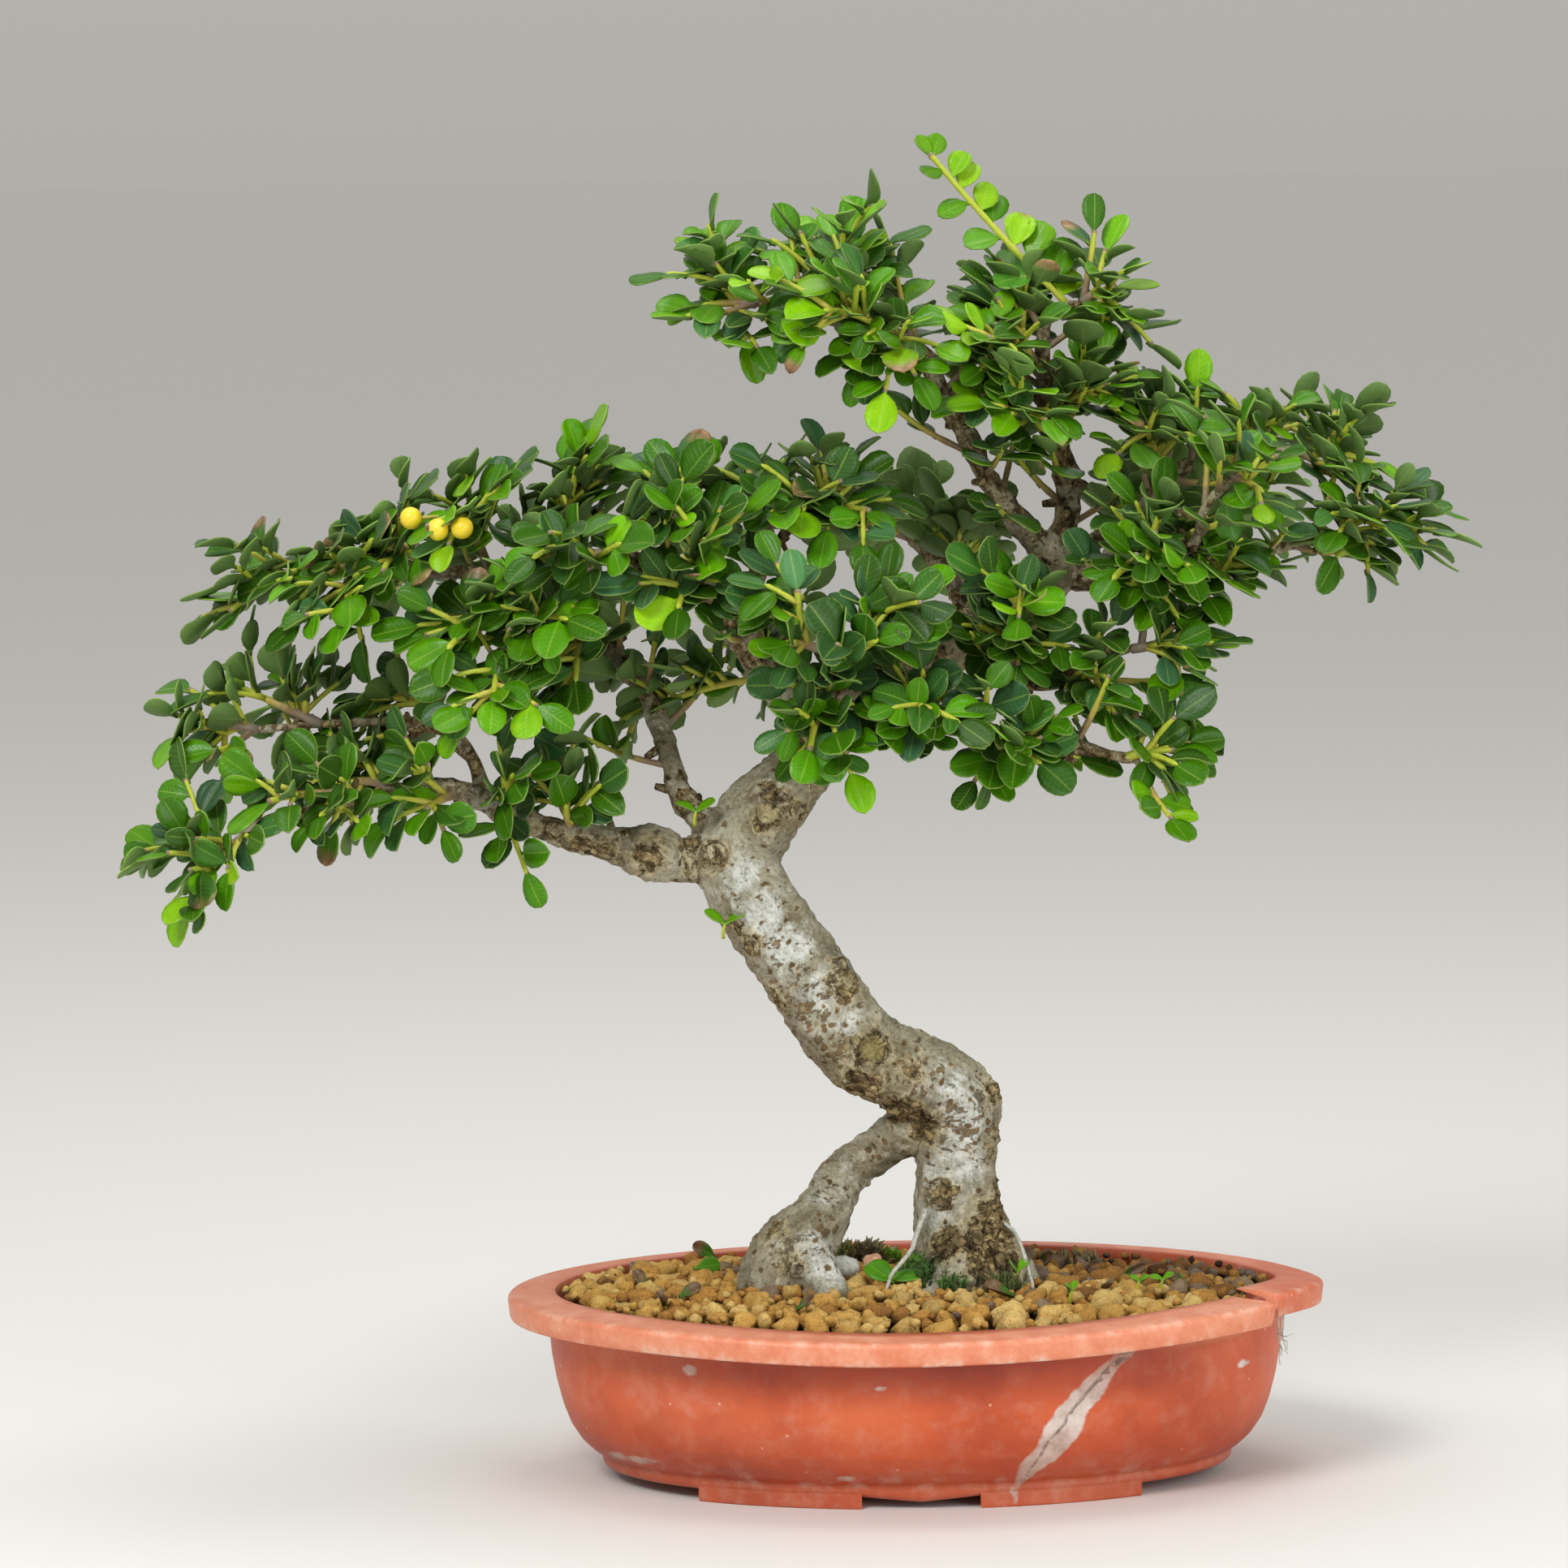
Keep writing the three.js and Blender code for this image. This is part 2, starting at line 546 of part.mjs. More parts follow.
// Leaves stand in turn on both sides of a twig or shoot, and one ends it
function leavesAlong(curve, length, from, random) {
  const leaves = [];
  const count = Math.max(1, Math.round((length * (1 - from)) / leaf.spacing));
  for (let k = 0; k < count; k += 1) {
    const t = from + ((1 - from) * (k + 0.3)) / count;
    const place = curvePoint(curve, t);
    const along = curveWay(curve, t);
    const face = faceWay(place, random);
    const side = unit(cross(along, face));
    const hand = k % 2 === 0 ? 1 : -1;
    const rise = 0.1 + 0.4 * random();
    const way = unit(plus(plus(plus([0, 0, 0], along, 0.6), side, 0.85 * hand), face, rise));
    leaves.push({ ...growLeaf(place, way, random, 0.8 + 0.2 * t), t });
  }
  leaves.push(growLeaf(curvePoint(curve, 1), curveWay(curve, 1), random, 1));
  return leaves;
}

function growShoot(twigCurve, t, hand, random) {
  const base = curvePoint(twigCurve, t);
  const along = curveWay(twigCurve, t);
  const side = unit(cross(along, faceWay(base, random)));
  const rise = [0, 0, 0.1 + 0.5 * random()];
  const way = unit(plus(plus(plus([0, 0, 0], along, 0.55), side, 0.8 * hand), rise));
  const length = (shoot.shortest + (shoot.longest - shoot.shortest) * random()) * (1.15 - 0.4 * t);
  const end = plus(base, way, length);
  const curve = [base, plus(between(base, end, 0.5), [0, 0, 0.1 * length]), end];
  return { t, curve, leaves: leavesAlong(curve, length, 0.3, random) };
}

// One spray: its twigs, side shoots and leaves, before any of them is made solid
function growSpray(number, [limb, place, ...tips]) {
  const twigs = [];
  const root = placeOn(limb, place);
  const limbRadius = limbs[limb][Math.floor(place)][3];
  tips.forEach((tip, j) => {
    const random = randomFrom(1000 + 37 * number + 11 * j);
    const clearOfLimb = j === 0 ? 0 : (limbRadius + twig.forkRoom) / twigs[0].length;
    const evenly = 0.2 + (0.35 * (j - 1)) / Math.max(1, tips.length - 1);
    const fork = Math.min(Math.max(evenly, clearOfLimb), 0.85);
    const start = j === 0 ? root : curvePoint(twigs[0].curve, fork);
    const reach = Math.hypot(...plus(tip, start, -1));
    const end = between(tip, start, Math.min(twig.leafReach / reach, 0.5));
    const length = Math.hypot(...plus(end, start, -1));
    const sway = [random() - 0.5, random() - 0.5, random() - 0.5 + twig.lift / 0.15];
    const curve = [start, plus(between(start, end, 0.5), sway, 0.15 * length), end];
    const leaves = leavesAlong(curve, length, 0.35, random);
    const count = Math.round((length * 0.7) / shoot.spacing);
    const shoots = [];
    for (let k = 0; k < count; k += 1) {
      const t = 0.25 + (0.65 * (k + random() * 0.5)) / count;
      shoots.push(growShoot(curve, t, (k + j) % 2 === 0 ? 1 : -1, random));
    }
    const thick = j === 0 ? twig.baseRadius : twig.forkRadius;
    twigs.push({ curve, steps: j === 0 ? 2 : 1, length, fork, thick, leaves, shoots });
  });
  return twigs;
}

// A flat obovate leaf: half widths at places along the midrib, between its pointed ends.
// A stalk longer than nothing is the side shoot that carries it, in one piece with it.
const leafOutline = [[0.38, 0.4], [0.72, 0.47]];

function leafSolid({ base, way, face, length, width, stalk = 0 }, grow) {
  const side = cross(way, face);
  const half = leaf.thickness / 2 + grow;
  const point = (along, out) => plus(plus(base, way, along), side, out);
  const edge = leafOutline.map(([along, out]) => [stalk + along * length, out * width + grow]);
  if (stalk > 0) {
    edge.unshift([stalk, shoot.stalkWidth / 2 + grow]);
  }
  const outline = [
    point(-grow, 0),
    ...edge.map(([along, out]) => point(along, out)),
    point(stalk + length + grow, 0),
    ...edge.toReversed().map(([along, out]) => point(along, -out)),
  ];
  const positions = [
    ...outline.map((p) => plus(p, face, half)),
    ...outline.map((p) => plus(p, face, -half)),
  ];
  const count = outline.length;
  const triangles = [];
  for (let i = 0; i < count; i += 1) {
    const next = (i + 1) % count;
    triangles.push([i, count + next, next], [i, count + i, count + next]);
  }
  // Across the leaf in steps from its base, so that few edges meet where the base enters a twig
  for (let near = 0; near < count - near; near += 1) {
    const far = count - near;
    if (near > 0) {
      triangles.push([near, near + 1, far], [count + near, count + far, count + near + 1]);
    }
    if (near + 1 < far - 1) {
      const other = far % count;
      triangles.push([near + 1, far - 1, other], [count + near + 1, count + other, count + far - 1]);
    }
  }
  return solid(positions, triangles);
}

function squareRing(place, side, up, halfSide, halfUp) {
  const corners = [[1, 1], [-1, 1], [-1, -1], [1, -1]];
  return corners.map(([a, b]) => plus(plus(place, side, a * halfSide), up, b * halfUp));
}

// A twig and the leaf that ends it, as one skin of four-cornered rings
function twigSolid(twigs, number, grow) {
  const { curve, steps, fork, thick, leaves } = twigs[number];
  const { way, face, length, width } = leaves.at(-1);
  const side = cross(way, face);
  const rings = [];
  for (let i = 0; i <= steps; i += 1) {
    const t = i / steps;
    const place = i === 0 && number > 0 ? stepPoint(twigs[0], fork) : curvePoint(curve, t);
    const along = curveWay(curve, t);
    const across = unit(plus(side, along, -dot(side, along)));
    const half = (thick + (twig.tipRadius - thick) * t + grow) * Math.SQRT1_2;
    rings.push(squareRing(place, across, cross(along, across), half, half));
  }
  const halfThick = leaf.thickness / 2 + grow;
  for (const [along, out] of [...leafOutline, [1, 0.04]]) {
    const place = plus(curve[2], way, along * length + grow);
    rings.push(squareRing(place, side, cross(way, side), out * width + grow, halfThick));
  }
  return plainSkin(rings);
}

// The leaf at the end of a side shoot, with the shoot as its stalk
function stalkedLeaf(base, { curve, leaves }) {
  const end = curve[2];
  const way = unit(plus(end, base, -1));
  const last = leaves.at(-1);
  const face = unit(plus(last.face, way, -dot(last.face, way)));
  return { ...last, base, way, face, stalk: Math.hypot(...plus(end, base, -1)) };
}

function largestBody(shape) {
  return shape.decompose().reduce((best, body) => (body.volume() > best.volume() ? body : best));
}

function boxesMeet(a, b) {
  return [0, 1, 2].every((i) => a.min[i] < b.max[i] && b.min[i] < a.max[i]);
}

// What is already there, so that a twig or leaf that would touch it can be left out
class Crown {
  pieces = [];

  add(shape, spray, isStem) {
    this.pieces.push({ shape, spray, isStem, box: shape.boundingBox() });
  }

  isFree(grown, spray) {
    const box = grown.boundingBox();
    return this.pieces.every((piece) => {
      const isOwnStem = piece.isStem && piece.spray === spray;
      return isOwnStem || !boxesMeet(box, piece.box) || grown.intersect(piece.shape).isEmpty();
    });
  }
}

// The leaves of a spray that are built besides those that end its twigs
function builtLeaves(twigs) {
  const onShoots = twigs.flatMap((one) => {
    const built = one.shoots.filter((_, k) => k % kept.shoots === 0);
    return built.map((side) => stalkedLeaf(stepPoint(one, side.t), side));
  });
  const onTwigs = twigs.flatMap((one) => {
    const built = one.leaves.slice(0, -1).filter((_, k) => k % kept.leaves === kept.leaves - 1);
    return built.map((flat) => ({ ...flat, base: stepPoint(one, flat.t) }));
  });
  return [...onShoots, ...onTwigs];
}

function makeSprays(trunkShape, trunkGrown, others) {
  const crown = new Crown();
  crown.add(trunkShape, null, false);
  others.forEach((other) => crown.add(other, null, false));
  const grown = Object.values(sprays).map((entry, number) => growSpray(number, entry));
  const twigShapes = grown.map((twigs, number) => {
    const parts = twigs.map((_, j) => twigSolid(twigs, j, 0));
    if (Object.keys(sprays)[number] === berries.spray) {
      parts.push(...berryStalks(twigs[0]));
    }
    let shape = wasm.Manifold.union(parts).subtract(trunkGrown);
    for (const piece of crown.pieces.slice(1)) {
      if (boxesMeet(shape.boundingBox(), piece.box)) {
        shape = shape.subtract(piece.grown ?? piece.shape);
      }
    }
    shape = largestBody(shape);
    crown.add(shape, number, true);
    const grownParts = twigs.map((_, j) => twigSolid(twigs, j, clearance));
    crown.pieces.at(-1).grown = wasm.Manifold.union(grownParts);
    return shape;
  });
  return twigShapes.map((twigShape, number) => {
    const parts = [twigShape];
    grown[number].forEach(({ leaves }) => crown.add(leafSolid(leaves.at(-1), 0), number, false));
    for (const one of builtLeaves(grown[number])) {
      const isFree = crown.isFree(leafSolid(one, clearance), number);
      const shape = leafSolid(one, 0);
      if (isFree && !shape.intersect(twigShape).isEmpty()) {
        crown.add(shape, number, false);
        parts.push(shape);
      }
    }
    return largestBody(wasm.Manifold.union(parts));
  });
}

// Stalks that end just short of the berries they carry
function berryStalks(mainTwig) {
  const start = stepPoint(mainTwig, berries.stalkFrom);
  return berries.centres.map((centre) => {
    const reach = Math.hypot(...plus(centre, start, -1));
    const end = between(centre, start, (berries.radius + clearance) / reach);
    return bar([[...start, berries.stalkRadius], [...end, berries.stalkRadius]], 4);
  });
}

function makeBerries() {
  return berries.centres.map(([x, y, z]) => {
    const ball = new THREE.IcosahedronGeometry(berries.radius, 1);
    ball.translate(x, y, z);
    return solidOf(ball);
  });
}

// The tree

const tree = new THREE.Group();

function show(name, shape, color, roughness) {
  const { vertProperties, triVerts } = shape.getMesh();
  const geometry = new THREE.BufferGeometry();
  geometry.setAttribute('position', new THREE.BufferAttribute(vertProperties, 3));
  geometry.setIndex(new THREE.BufferAttribute(triVerts, 1));
  geometry.computeVertexNormals();
  const material = new THREE.MeshStandardMaterial({ color, roughness, metalness: 0 });
  const mesh = new THREE.Mesh(geometry, material);
  mesh.name = name;
  tree.add(mesh);
}

const trunk = largestBody(makeTrunk(0));
const trunkGrown = makeTrunk(clearance);
const berryShapes = makeBerries();
const soil = largestBody(makeSoil(trunkGrown));

show('pot', makePot(), colours.pot, 0.5);
show('soil', soil, colours.soil, 0.95);
show('trunk', trunk, colours.bark, 0.85);
berryShapes.forEach((shape, i) => show(`berry_${i + 1}`, shape, colours.berry, 0.35));
makeSprays(trunk, trunkGrown, berryShapes).forEach((shape, i) => {
  show(`spray_${Object.keys(sprays)[i]}`, shape, colours.leaf, 0.4);
});

const box = new THREE.Box3().setFromObject(tree);
const middle = box.getCenter(new THREE.Vector3());
tree.position.set(-middle.x, -middle.y, -box.min.z);

export default tree;
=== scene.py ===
import math
from functools import partial

import bmesh
import bpy
import numpy as np
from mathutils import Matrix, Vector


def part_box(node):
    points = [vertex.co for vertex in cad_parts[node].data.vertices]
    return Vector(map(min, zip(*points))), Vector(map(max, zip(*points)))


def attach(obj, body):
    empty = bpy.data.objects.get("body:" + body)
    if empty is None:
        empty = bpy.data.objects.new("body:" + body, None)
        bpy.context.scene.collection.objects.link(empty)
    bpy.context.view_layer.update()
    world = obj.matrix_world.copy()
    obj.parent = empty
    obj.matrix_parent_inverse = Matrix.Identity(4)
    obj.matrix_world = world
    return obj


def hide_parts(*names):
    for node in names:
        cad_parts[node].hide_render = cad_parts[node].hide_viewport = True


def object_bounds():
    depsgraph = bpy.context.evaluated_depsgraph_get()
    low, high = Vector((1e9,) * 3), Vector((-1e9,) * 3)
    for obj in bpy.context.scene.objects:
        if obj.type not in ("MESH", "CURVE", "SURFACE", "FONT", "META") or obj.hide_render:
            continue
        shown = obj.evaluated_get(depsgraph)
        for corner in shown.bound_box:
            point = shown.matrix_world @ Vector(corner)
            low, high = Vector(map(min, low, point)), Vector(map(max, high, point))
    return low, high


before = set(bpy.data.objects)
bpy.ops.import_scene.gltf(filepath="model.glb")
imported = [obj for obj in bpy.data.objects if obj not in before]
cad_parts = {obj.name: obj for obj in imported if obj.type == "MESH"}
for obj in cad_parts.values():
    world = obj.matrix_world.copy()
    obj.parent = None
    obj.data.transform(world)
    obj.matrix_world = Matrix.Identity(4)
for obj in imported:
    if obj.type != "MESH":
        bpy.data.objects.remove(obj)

import openvdb
from mathutils import Euler, Vector

cadBox = [list(corner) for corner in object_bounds()]
metre = 0.001  # one millimetre
potLow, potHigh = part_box("pot")
ground = -6.6  # the undersides of the pot's feet
origin = np.array([(potLow.x + potHigh.x) / 2, (potLow.y + potHigh.y) / 2, -ground * metre])


def toFrame(points):  # millimetres to the frame's metres
    return np.asarray(points, float) * metre + origin


def toLinear(code, alpha=1.0):  # "#rrggbb" as a linear colour
    parts = [int(code[i:i + 2], 16) / 255 for i in (1, 3, 5)]
    return [c / 12.92 if c <= 0.04045 else ((c + 0.055) / 1.055) ** 2.4 for c in parts] + [alpha]


# Materials: one function that adds a node, with its settings and what goes into it

# Values and colour codes are set, and sockets are linked. A node stands for its first output in use.
def feed(node, inputs):
    for name, value in inputs.items() if isinstance(inputs, dict) else enumerate(inputs):
        if isinstance(value, str):
            value = toLinear(value)
        if isinstance(value, bpy.types.Node):
            value = next(output for output in value.outputs if output.enabled)
        if isinstance(value, bpy.types.NodeSocket):
            node.id_data.links.new(value, node.inputs[name])
        else:
            node.inputs[name].default_value = value


# Inputs go by name or by number. By number, a colour Mix has its share at 0 and its colours at 6 and 7,
# and a MapRange has its value, where it starts and ends, and what it gives there.
def addNode(tree, kind, inputs=(), **settings):
    node = tree.nodes.new("ShaderNode" + kind)
    for name, value in settings.items():
        if name == "stops":  # [(place, colour)] of a colour ramp
            while len(node.color_ramp.elements) < len(value):
                node.color_ramp.elements.new(0.5)
            for element, (place, colour) in zip(node.color_ramp.elements, value):
                element.position = place
                element.color = toLinear(colour)
        else:
            setattr(node, name, value)
    feed(node, inputs)
    return node


def newMaterial(name):  # a material, its bare shader, and addNode for its own tree
    material = bpy.data.materials.new(name)
    material.use_nodes = True
    tree = material.node_tree
    return material, tree.nodes["Principled BSDF"], partial(addNode, tree)


def pointTraits(add):  # the four numbers that each point carries
    traits = add("VertexColor", layer_name="traits")
    return [*add("SeparateColor", [traits]).outputs, traits.outputs["Alpha"]]


# Shapes

def unit(vector):
    return vector / np.linalg.norm(vector)


def waves(points, size, seed, count=14):  # smooth noise of about -1 to 1, with lumps of that size
    dice = np.random.default_rng(seed)
    ways = dice.normal(size=(count, 3))
    ways *= (2 * math.pi / size * dice.uniform(0.5, 1.3, count) / np.linalg.norm(ways, axis=1))[:, None]
    phases = dice.uniform(0, 2 * math.pi, count)
    return np.cos(points @ ways.T + phases).sum(axis=1) / math.sqrt(count)


def step(low, high, values):  # 0 below low, 1 above high, smooth between
    share = np.clip((values - low) / (high - low), 0, 1)
    return share * share * (3 - 2 * share)


def smoothLine(points, spacing):  # a curve through [places..., radius], cut about every spacing
    given = np.asarray(points, float)
    ends = np.vstack([2 * given[0] - given[1], given, 2 * given[-1] - given[-2]])
    line = []
    for i in range(len(given) - 1):
        a, b, c, d = ends[i:i + 4]
        count = max(1, round(np.linalg.norm((c - b)[:-1]) / spacing))
        for t in np.arange(count) / count:
            bend = (c - a) * t + (2 * a - 5 * b + 4 * c - d) * t ** 2 + (3 * b - a - 3 * c + d) * t ** 3
            line.append(b + 0.5 * bend)
    line.append(given[-1])
    return np.array(line)


def framesAlong(middles):  # the way, side and up at each point of a line, with no twist
    ways = np.gradient(middles, axis=0)
    ways /= np.linalg.norm(ways, axis=1)[:, None]
    side = unit(np.cross(ways[0], [0, 0, 1] if abs(ways[0][2]) < 0.9 else [0, 1, 0]))
    sides = []
    for way in ways:
        side = unit(side - way * (side @ way))
        sides.append(side)
    sides = np.array(sides)
    return ways, sides, np.cross(ways, sides)


def ringFaces(rings, count):  # quads between rings of equal count, closed by a cap at both ends
    faces = []
    for r in range(rings - 1):
        low, high = r * count, (r + 1) * count
        faces += [(low + i, low + (i + 1) % count, high + (i + 1) % count, high + i) for i in range(count)]
    faces.append(tuple(range(count))[::-1])
    faces.append(tuple(range((rings - 1) * count, rings * count)))
    return faces


def rows(*values):  # one row for each point, from numbers and arrays
    return np.stack(np.broadcast_arrays(*values), axis=1)


def newObject(name, data):
    made = bpy.data.objects.new(name, data)
    bpy.context.scene.collection.objects.link(made)
    return made


class Heap:  # gathers many small bodies into one mesh
    def __init__(self):
        self.points, self.faces, self.traits, self.places, self.marks, self.looks = [], [], [], [], [], []
        self.count = 0

    def add(self, points, faces, traits, places=None, look=0, marks=0):
        total = len(points)
        self.points.append(np.asarray(points, float))
        self.faces += [[corner + self.count for corner in face] for face in faces]
        self.traits.append(np.broadcast_to(np.asarray(traits, float), (total, 4)))
        self.places.append(np.zeros((total, 3)) if places is None else places)
        self.marks.append(np.broadcast_to(np.asarray(marks, float), (total, 3)))
        self.looks += [look] * len(faces)
        self.count += total

    def addBar(self, line, sides, traits, look=0, shift=0):
        points, faces, places = tubeBody(line, sides)
        self.add(points, faces, traits, places + shift, look)

    def piece(self, name, slot, materials, replaced=(), smooth=True):
        mesh = bpy.data.meshes.new(name)
        mesh.from_pydata(toFrame(np.vstack(self.points)).tolist(), [], self.faces)
        for material in materials:
            mesh.materials.append(material)
        mesh.polygons.foreach_set("material_index", self.looks)
        mesh.polygons.foreach_set("use_smooth", [smooth] * len(self.faces))
        traits = mesh.color_attributes.new(name="traits", type="FLOAT_COLOR", domain="POINT")
        traits.data.foreach_set("color", np.vstack(self.traits).ravel())
        places = mesh.attributes.new("places", "FLOAT_VECTOR", "POINT")
        places.data.foreach_set("vector", np.vstack(self.places).ravel())
        marks = mesh.attributes.new("marks", "FLOAT_VECTOR", "POINT")
        marks.data.foreach_set("vector", np.vstack(self.marks).ravel())
        piece = newObject(name, mesh)
        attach(piece, "root")
        if replaced:
            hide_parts(*replaced)
        return piece


def barLine(*ends):  # a bar's rows of [x, y, z, radius], from places and radii
    return np.array([[*place, radius] for place, radius in ends])


def tubeBody(line, sides):  # the points, faces and unrolled places of a bent round bar
    middles, radii = line[:, :3], line[:, 3]
    _, across, up = framesAlong(middles)
    angles = 2 * math.pi * np.arange(sides) / sides
    turns = np.stack([np.cos(angles), np.sin(angles)])[:, None, :, None]
    spokes = turns[0] * across[:, None, :] + turns[1] * up[:, None, :]
    points = middles[:, None, :] + spokes * radii[:, None, None]
    run = np.concatenate([[0], np.cumsum(np.linalg.norm(np.diff(middles, axis=0), axis=1))])
    places = np.stack([
        radii[:, None] * np.cos(angles), radii[:, None] * np.sin(angles),
        np.repeat(run[:, None], sides, axis=1),
    ], axis=-1)
    return points.reshape(-1, 3), ringFaces(len(line), sides), places.reshape(-1, 3)


def ballBody(fineness):  # the points and faces of a sphere of radius 1
    mesh = bpy.data.meshes.new("ball")
    shape = bmesh.new()
    bmesh.ops.create_icosphere(shape, subdivisions=fineness, radius=1)
    shape.to_mesh(mesh)
    shape.free()
    points = np.array([v.co for v in mesh.vertices])
    faces = np.array([p.vertices for p in mesh.polygons])
    bpy.data.meshes.remove(mesh)
    return points, faces


# Camera, light and floor

view = {
    "eye": (-34.4, -1800.0, 355.0),
    "tilt": 5.41,  # degrees down
    "roll": -0.75,
    "lens": 151.5,
}
camera = newObject("camera", bpy.data.cameras.new("camera"))
camera.location = toFrame(view["eye"])
turn = Euler((math.radians(90 - view["tilt"]), 0, 0)).to_matrix()
camera.rotation_euler = (turn @ Euler((0, 0, math.radians(view["roll"]))).to_matrix()).to_euler()
camera.data.lens = view["lens"]
camera.data.clip_end = 400
bpy.context.scene.camera = camera

studio = {
    # the sky's colours at the horizon, half way up and overhead: [height of the direction, colour]
    "sky": [(0.5, "#cfcdc7"), (0.6, "#e2e1de"), (1.0, "#efeeec")], "skyStrength": 0.70,
    "floor": "#dedcd8", "floorHalf": 120.0,
    # name: place and aim in metres, size, watts
    "key": ((-0.8, -1.5, 1.5), (0, 0, 0.2), 0.7, 26),
    "top": ((0.1, 0.1, 1.7), (0, 0, 0.25), 1.0, 10),
    "fill": ((1.3, -1.5, 0.6), (0, 0, 0.1), 1.1, 16),
}
world = bpy.data.worlds.new("studio")
bpy.context.scene.world = world
world.use_nodes = True
add = partial(addNode, world.node_tree)
upward = add("SeparateXYZ", [add("TexCoord").outputs["Generated"]]).outputs[2]
share = add("Math", [upward, 0.5, 0.5], operation="MULTIPLY_ADD")
sky = add("ValToRGB", [share], stops=studio["sky"])
feed(world.node_tree.nodes["Background"], {"Color": sky, "Strength": studio["skyStrength"]})
bpy.context.scene.view_settings.view_transform = "Standard"
for name in ("key", "top", "fill"):
    place, aim, size, power = studio[name]
    lamp = newObject(name, bpy.data.lights.new(name, "AREA"))
    lamp.data.size = size
    lamp.data.energy = power
    lamp.location = place
    lamp.rotation_euler = (Vector(aim) - Vector(place)).to_track_quat("-Z", "Y").to_euler()

half = studio["floorHalf"]
floorMesh = bpy.data.meshes.new("floor")
corners = [(-half, -half, 0), (half, -half, 0), (half, half, 0), (-half, half, 0)]
floorMesh.from_pydata(corners, [], [(0, 1, 2, 3)])
floor = newObject("floor", floorMesh)
# Matt emulsion paint, rolled on a smooth floor: no pattern and hardly any gloss
paint, shader, _ = newMaterial("paintedFloor")
feed(shader, {"Base Color": studio["floor"], "Roughness": 0.8})
floorMesh.materials.append(paint)
print("stage: camera, light and floor")


# Pot

pot = {
    "halfWidth": 112.5, "halfDepth": 80.0, "steps": 264,
    # [inset from the rim's outer edge, height], from the underside's middle out, up and back inside
    "outside": [
        [29.4, -1], [29, -3.4], [26.9, -3.4], [25.5, -2], [25.8, 0], [23.1, 1.5], [19.8, 4.6],
        [17, 8.8], [14.9, 14.3], [13.2, 21], [11.9, 28.5], [11.2, 37], [10.9, 42.6], [2.6, 42.2],
        [2.6, 38.2], [0.6, 38.2], [0, 43.8], [1.2, 44.7], [13.3, 45.5],
    ],
    "inside": [[13.9, 37], [15.4, 25], [18.2, 14.3], [22.8, 6], [28.8, 2.2]],
    "corner": 0.7, "span": 2.2,
    "lipTop": -1.5, "lipDip": 1.4, "lipDipHalfWidth": 16,
    "footFrom": 16, "footTo": 60, "footInset": 25.9, "footDepth": 12, "footTop": 0,
    "holeX": 42, "holeRadius": 7,
    "breakX": 97, "breakWidth": 2.1, "breakDepth": 17, "breakBottom": 38.1,
    # what is broken out under the loose end: [inset, height], and how far along the rim
    "undercut": [[4.2, 44.6], [16, 44.6], [16, 48.9], [13.3, 48.7], [4.2, 46.7]], "undercutLength": 6,
    "lift": 3.6, "liftEnd": 0.35, "rise": 1.5, "riseStart": -1.28,
    "sag": 1.6, "sagMiddle": -1.65, "sagWidth": 0.5,
    "firmHeight": 30, "looseHeight": 38,
    # the split in the front wall: [x, height, half width of the gap]
    "split": [
        [58.6, 41, 0.9], [56.3, 37.6, 1.2], [54.1, 35, 1.3], [51.2, 32.8, 1.15], [48.5, 29.9, 0.9],
        [46.7, 28.3, 0.62], [42.3, 23.6, 0.5], [38, 17.7, 0.45], [33.6, 11.9, 0.4], [29.7, 5.8, 0.36],
        [28.1, 2.1, 0.3],
    ],
    # the wall that is whitened round it: [height, left edge, right edge]
    "white": [
        [-3, 23.4, 25.6], [-0.5, 24.8, 27.6], [1.4, 25.3, 29], [5, 25.8, 32.6], [6.3, 26, 35],
        [9.2, 28.6, 38.4], [11, 30.3, 40], [14.8, 32.2, 42.4], [17.8, 33.6, 43.6], [21, 35.4, 44.8],
        [24, 38.2, 48.6], [26.5, 40.8, 49.6], [29, 43.4, 50.6], [32.6, 47.6, 53.4], [35, 51.0, 56.4],
        [39, 54.6, 60],
    ],
    # white scuffs: [x, height, half length, half height]
    "scuffs": [
        [-61.5, 32.3, 2.4, 1.8], [-10.8, 28.9, 2.2, 0.5], [-9.9, 15.7, 1.6, 0.5], [-15.2, 21.4, 1.3, 0.3],
        [-38, 10.3, 1.3, 0.4], [88.4, 28.1, 2.2, 1.3], [23.7, 16.5, 1, 0.4], [-20.7, 2.7, 3.0, 1.1],
        [-75.6, 3.7, 4.5, 1.3], [-82.4, 3.4, 3.5, 1.8], [-2, 24.5, 0.7, 0.5], [6, 19, 0.6, 0.4],
    ],
}
breakAngle = -math.acos(pot["breakX"] / pot["halfWidth"])


def roundCorners(points, corner, span):  # a profile with its corners rounded and its spans cut up
    given = np.asarray(points, float)
    line = [given[0]]
    for before, here, after in zip(given, given[1:], given[2:]):
        back, ahead = before - here, after - here
        start = here + unit(back) * min(corner, 0.4 * np.linalg.norm(back))
        end = here + unit(ahead) * min(corner, 0.4 * np.linalg.norm(ahead))
        line += [start, 0.25 * start + 0.5 * here + 0.25 * end, end]
    line.append(given[-1])
    cut = []
    for a, b in zip(line, line[1:]):
        count = max(1, math.ceil(np.linalg.norm(b - a) / span))
        cut += [a + (b - a) * k / count for k in range(count)]
    return np.array(cut + [line[-1]])


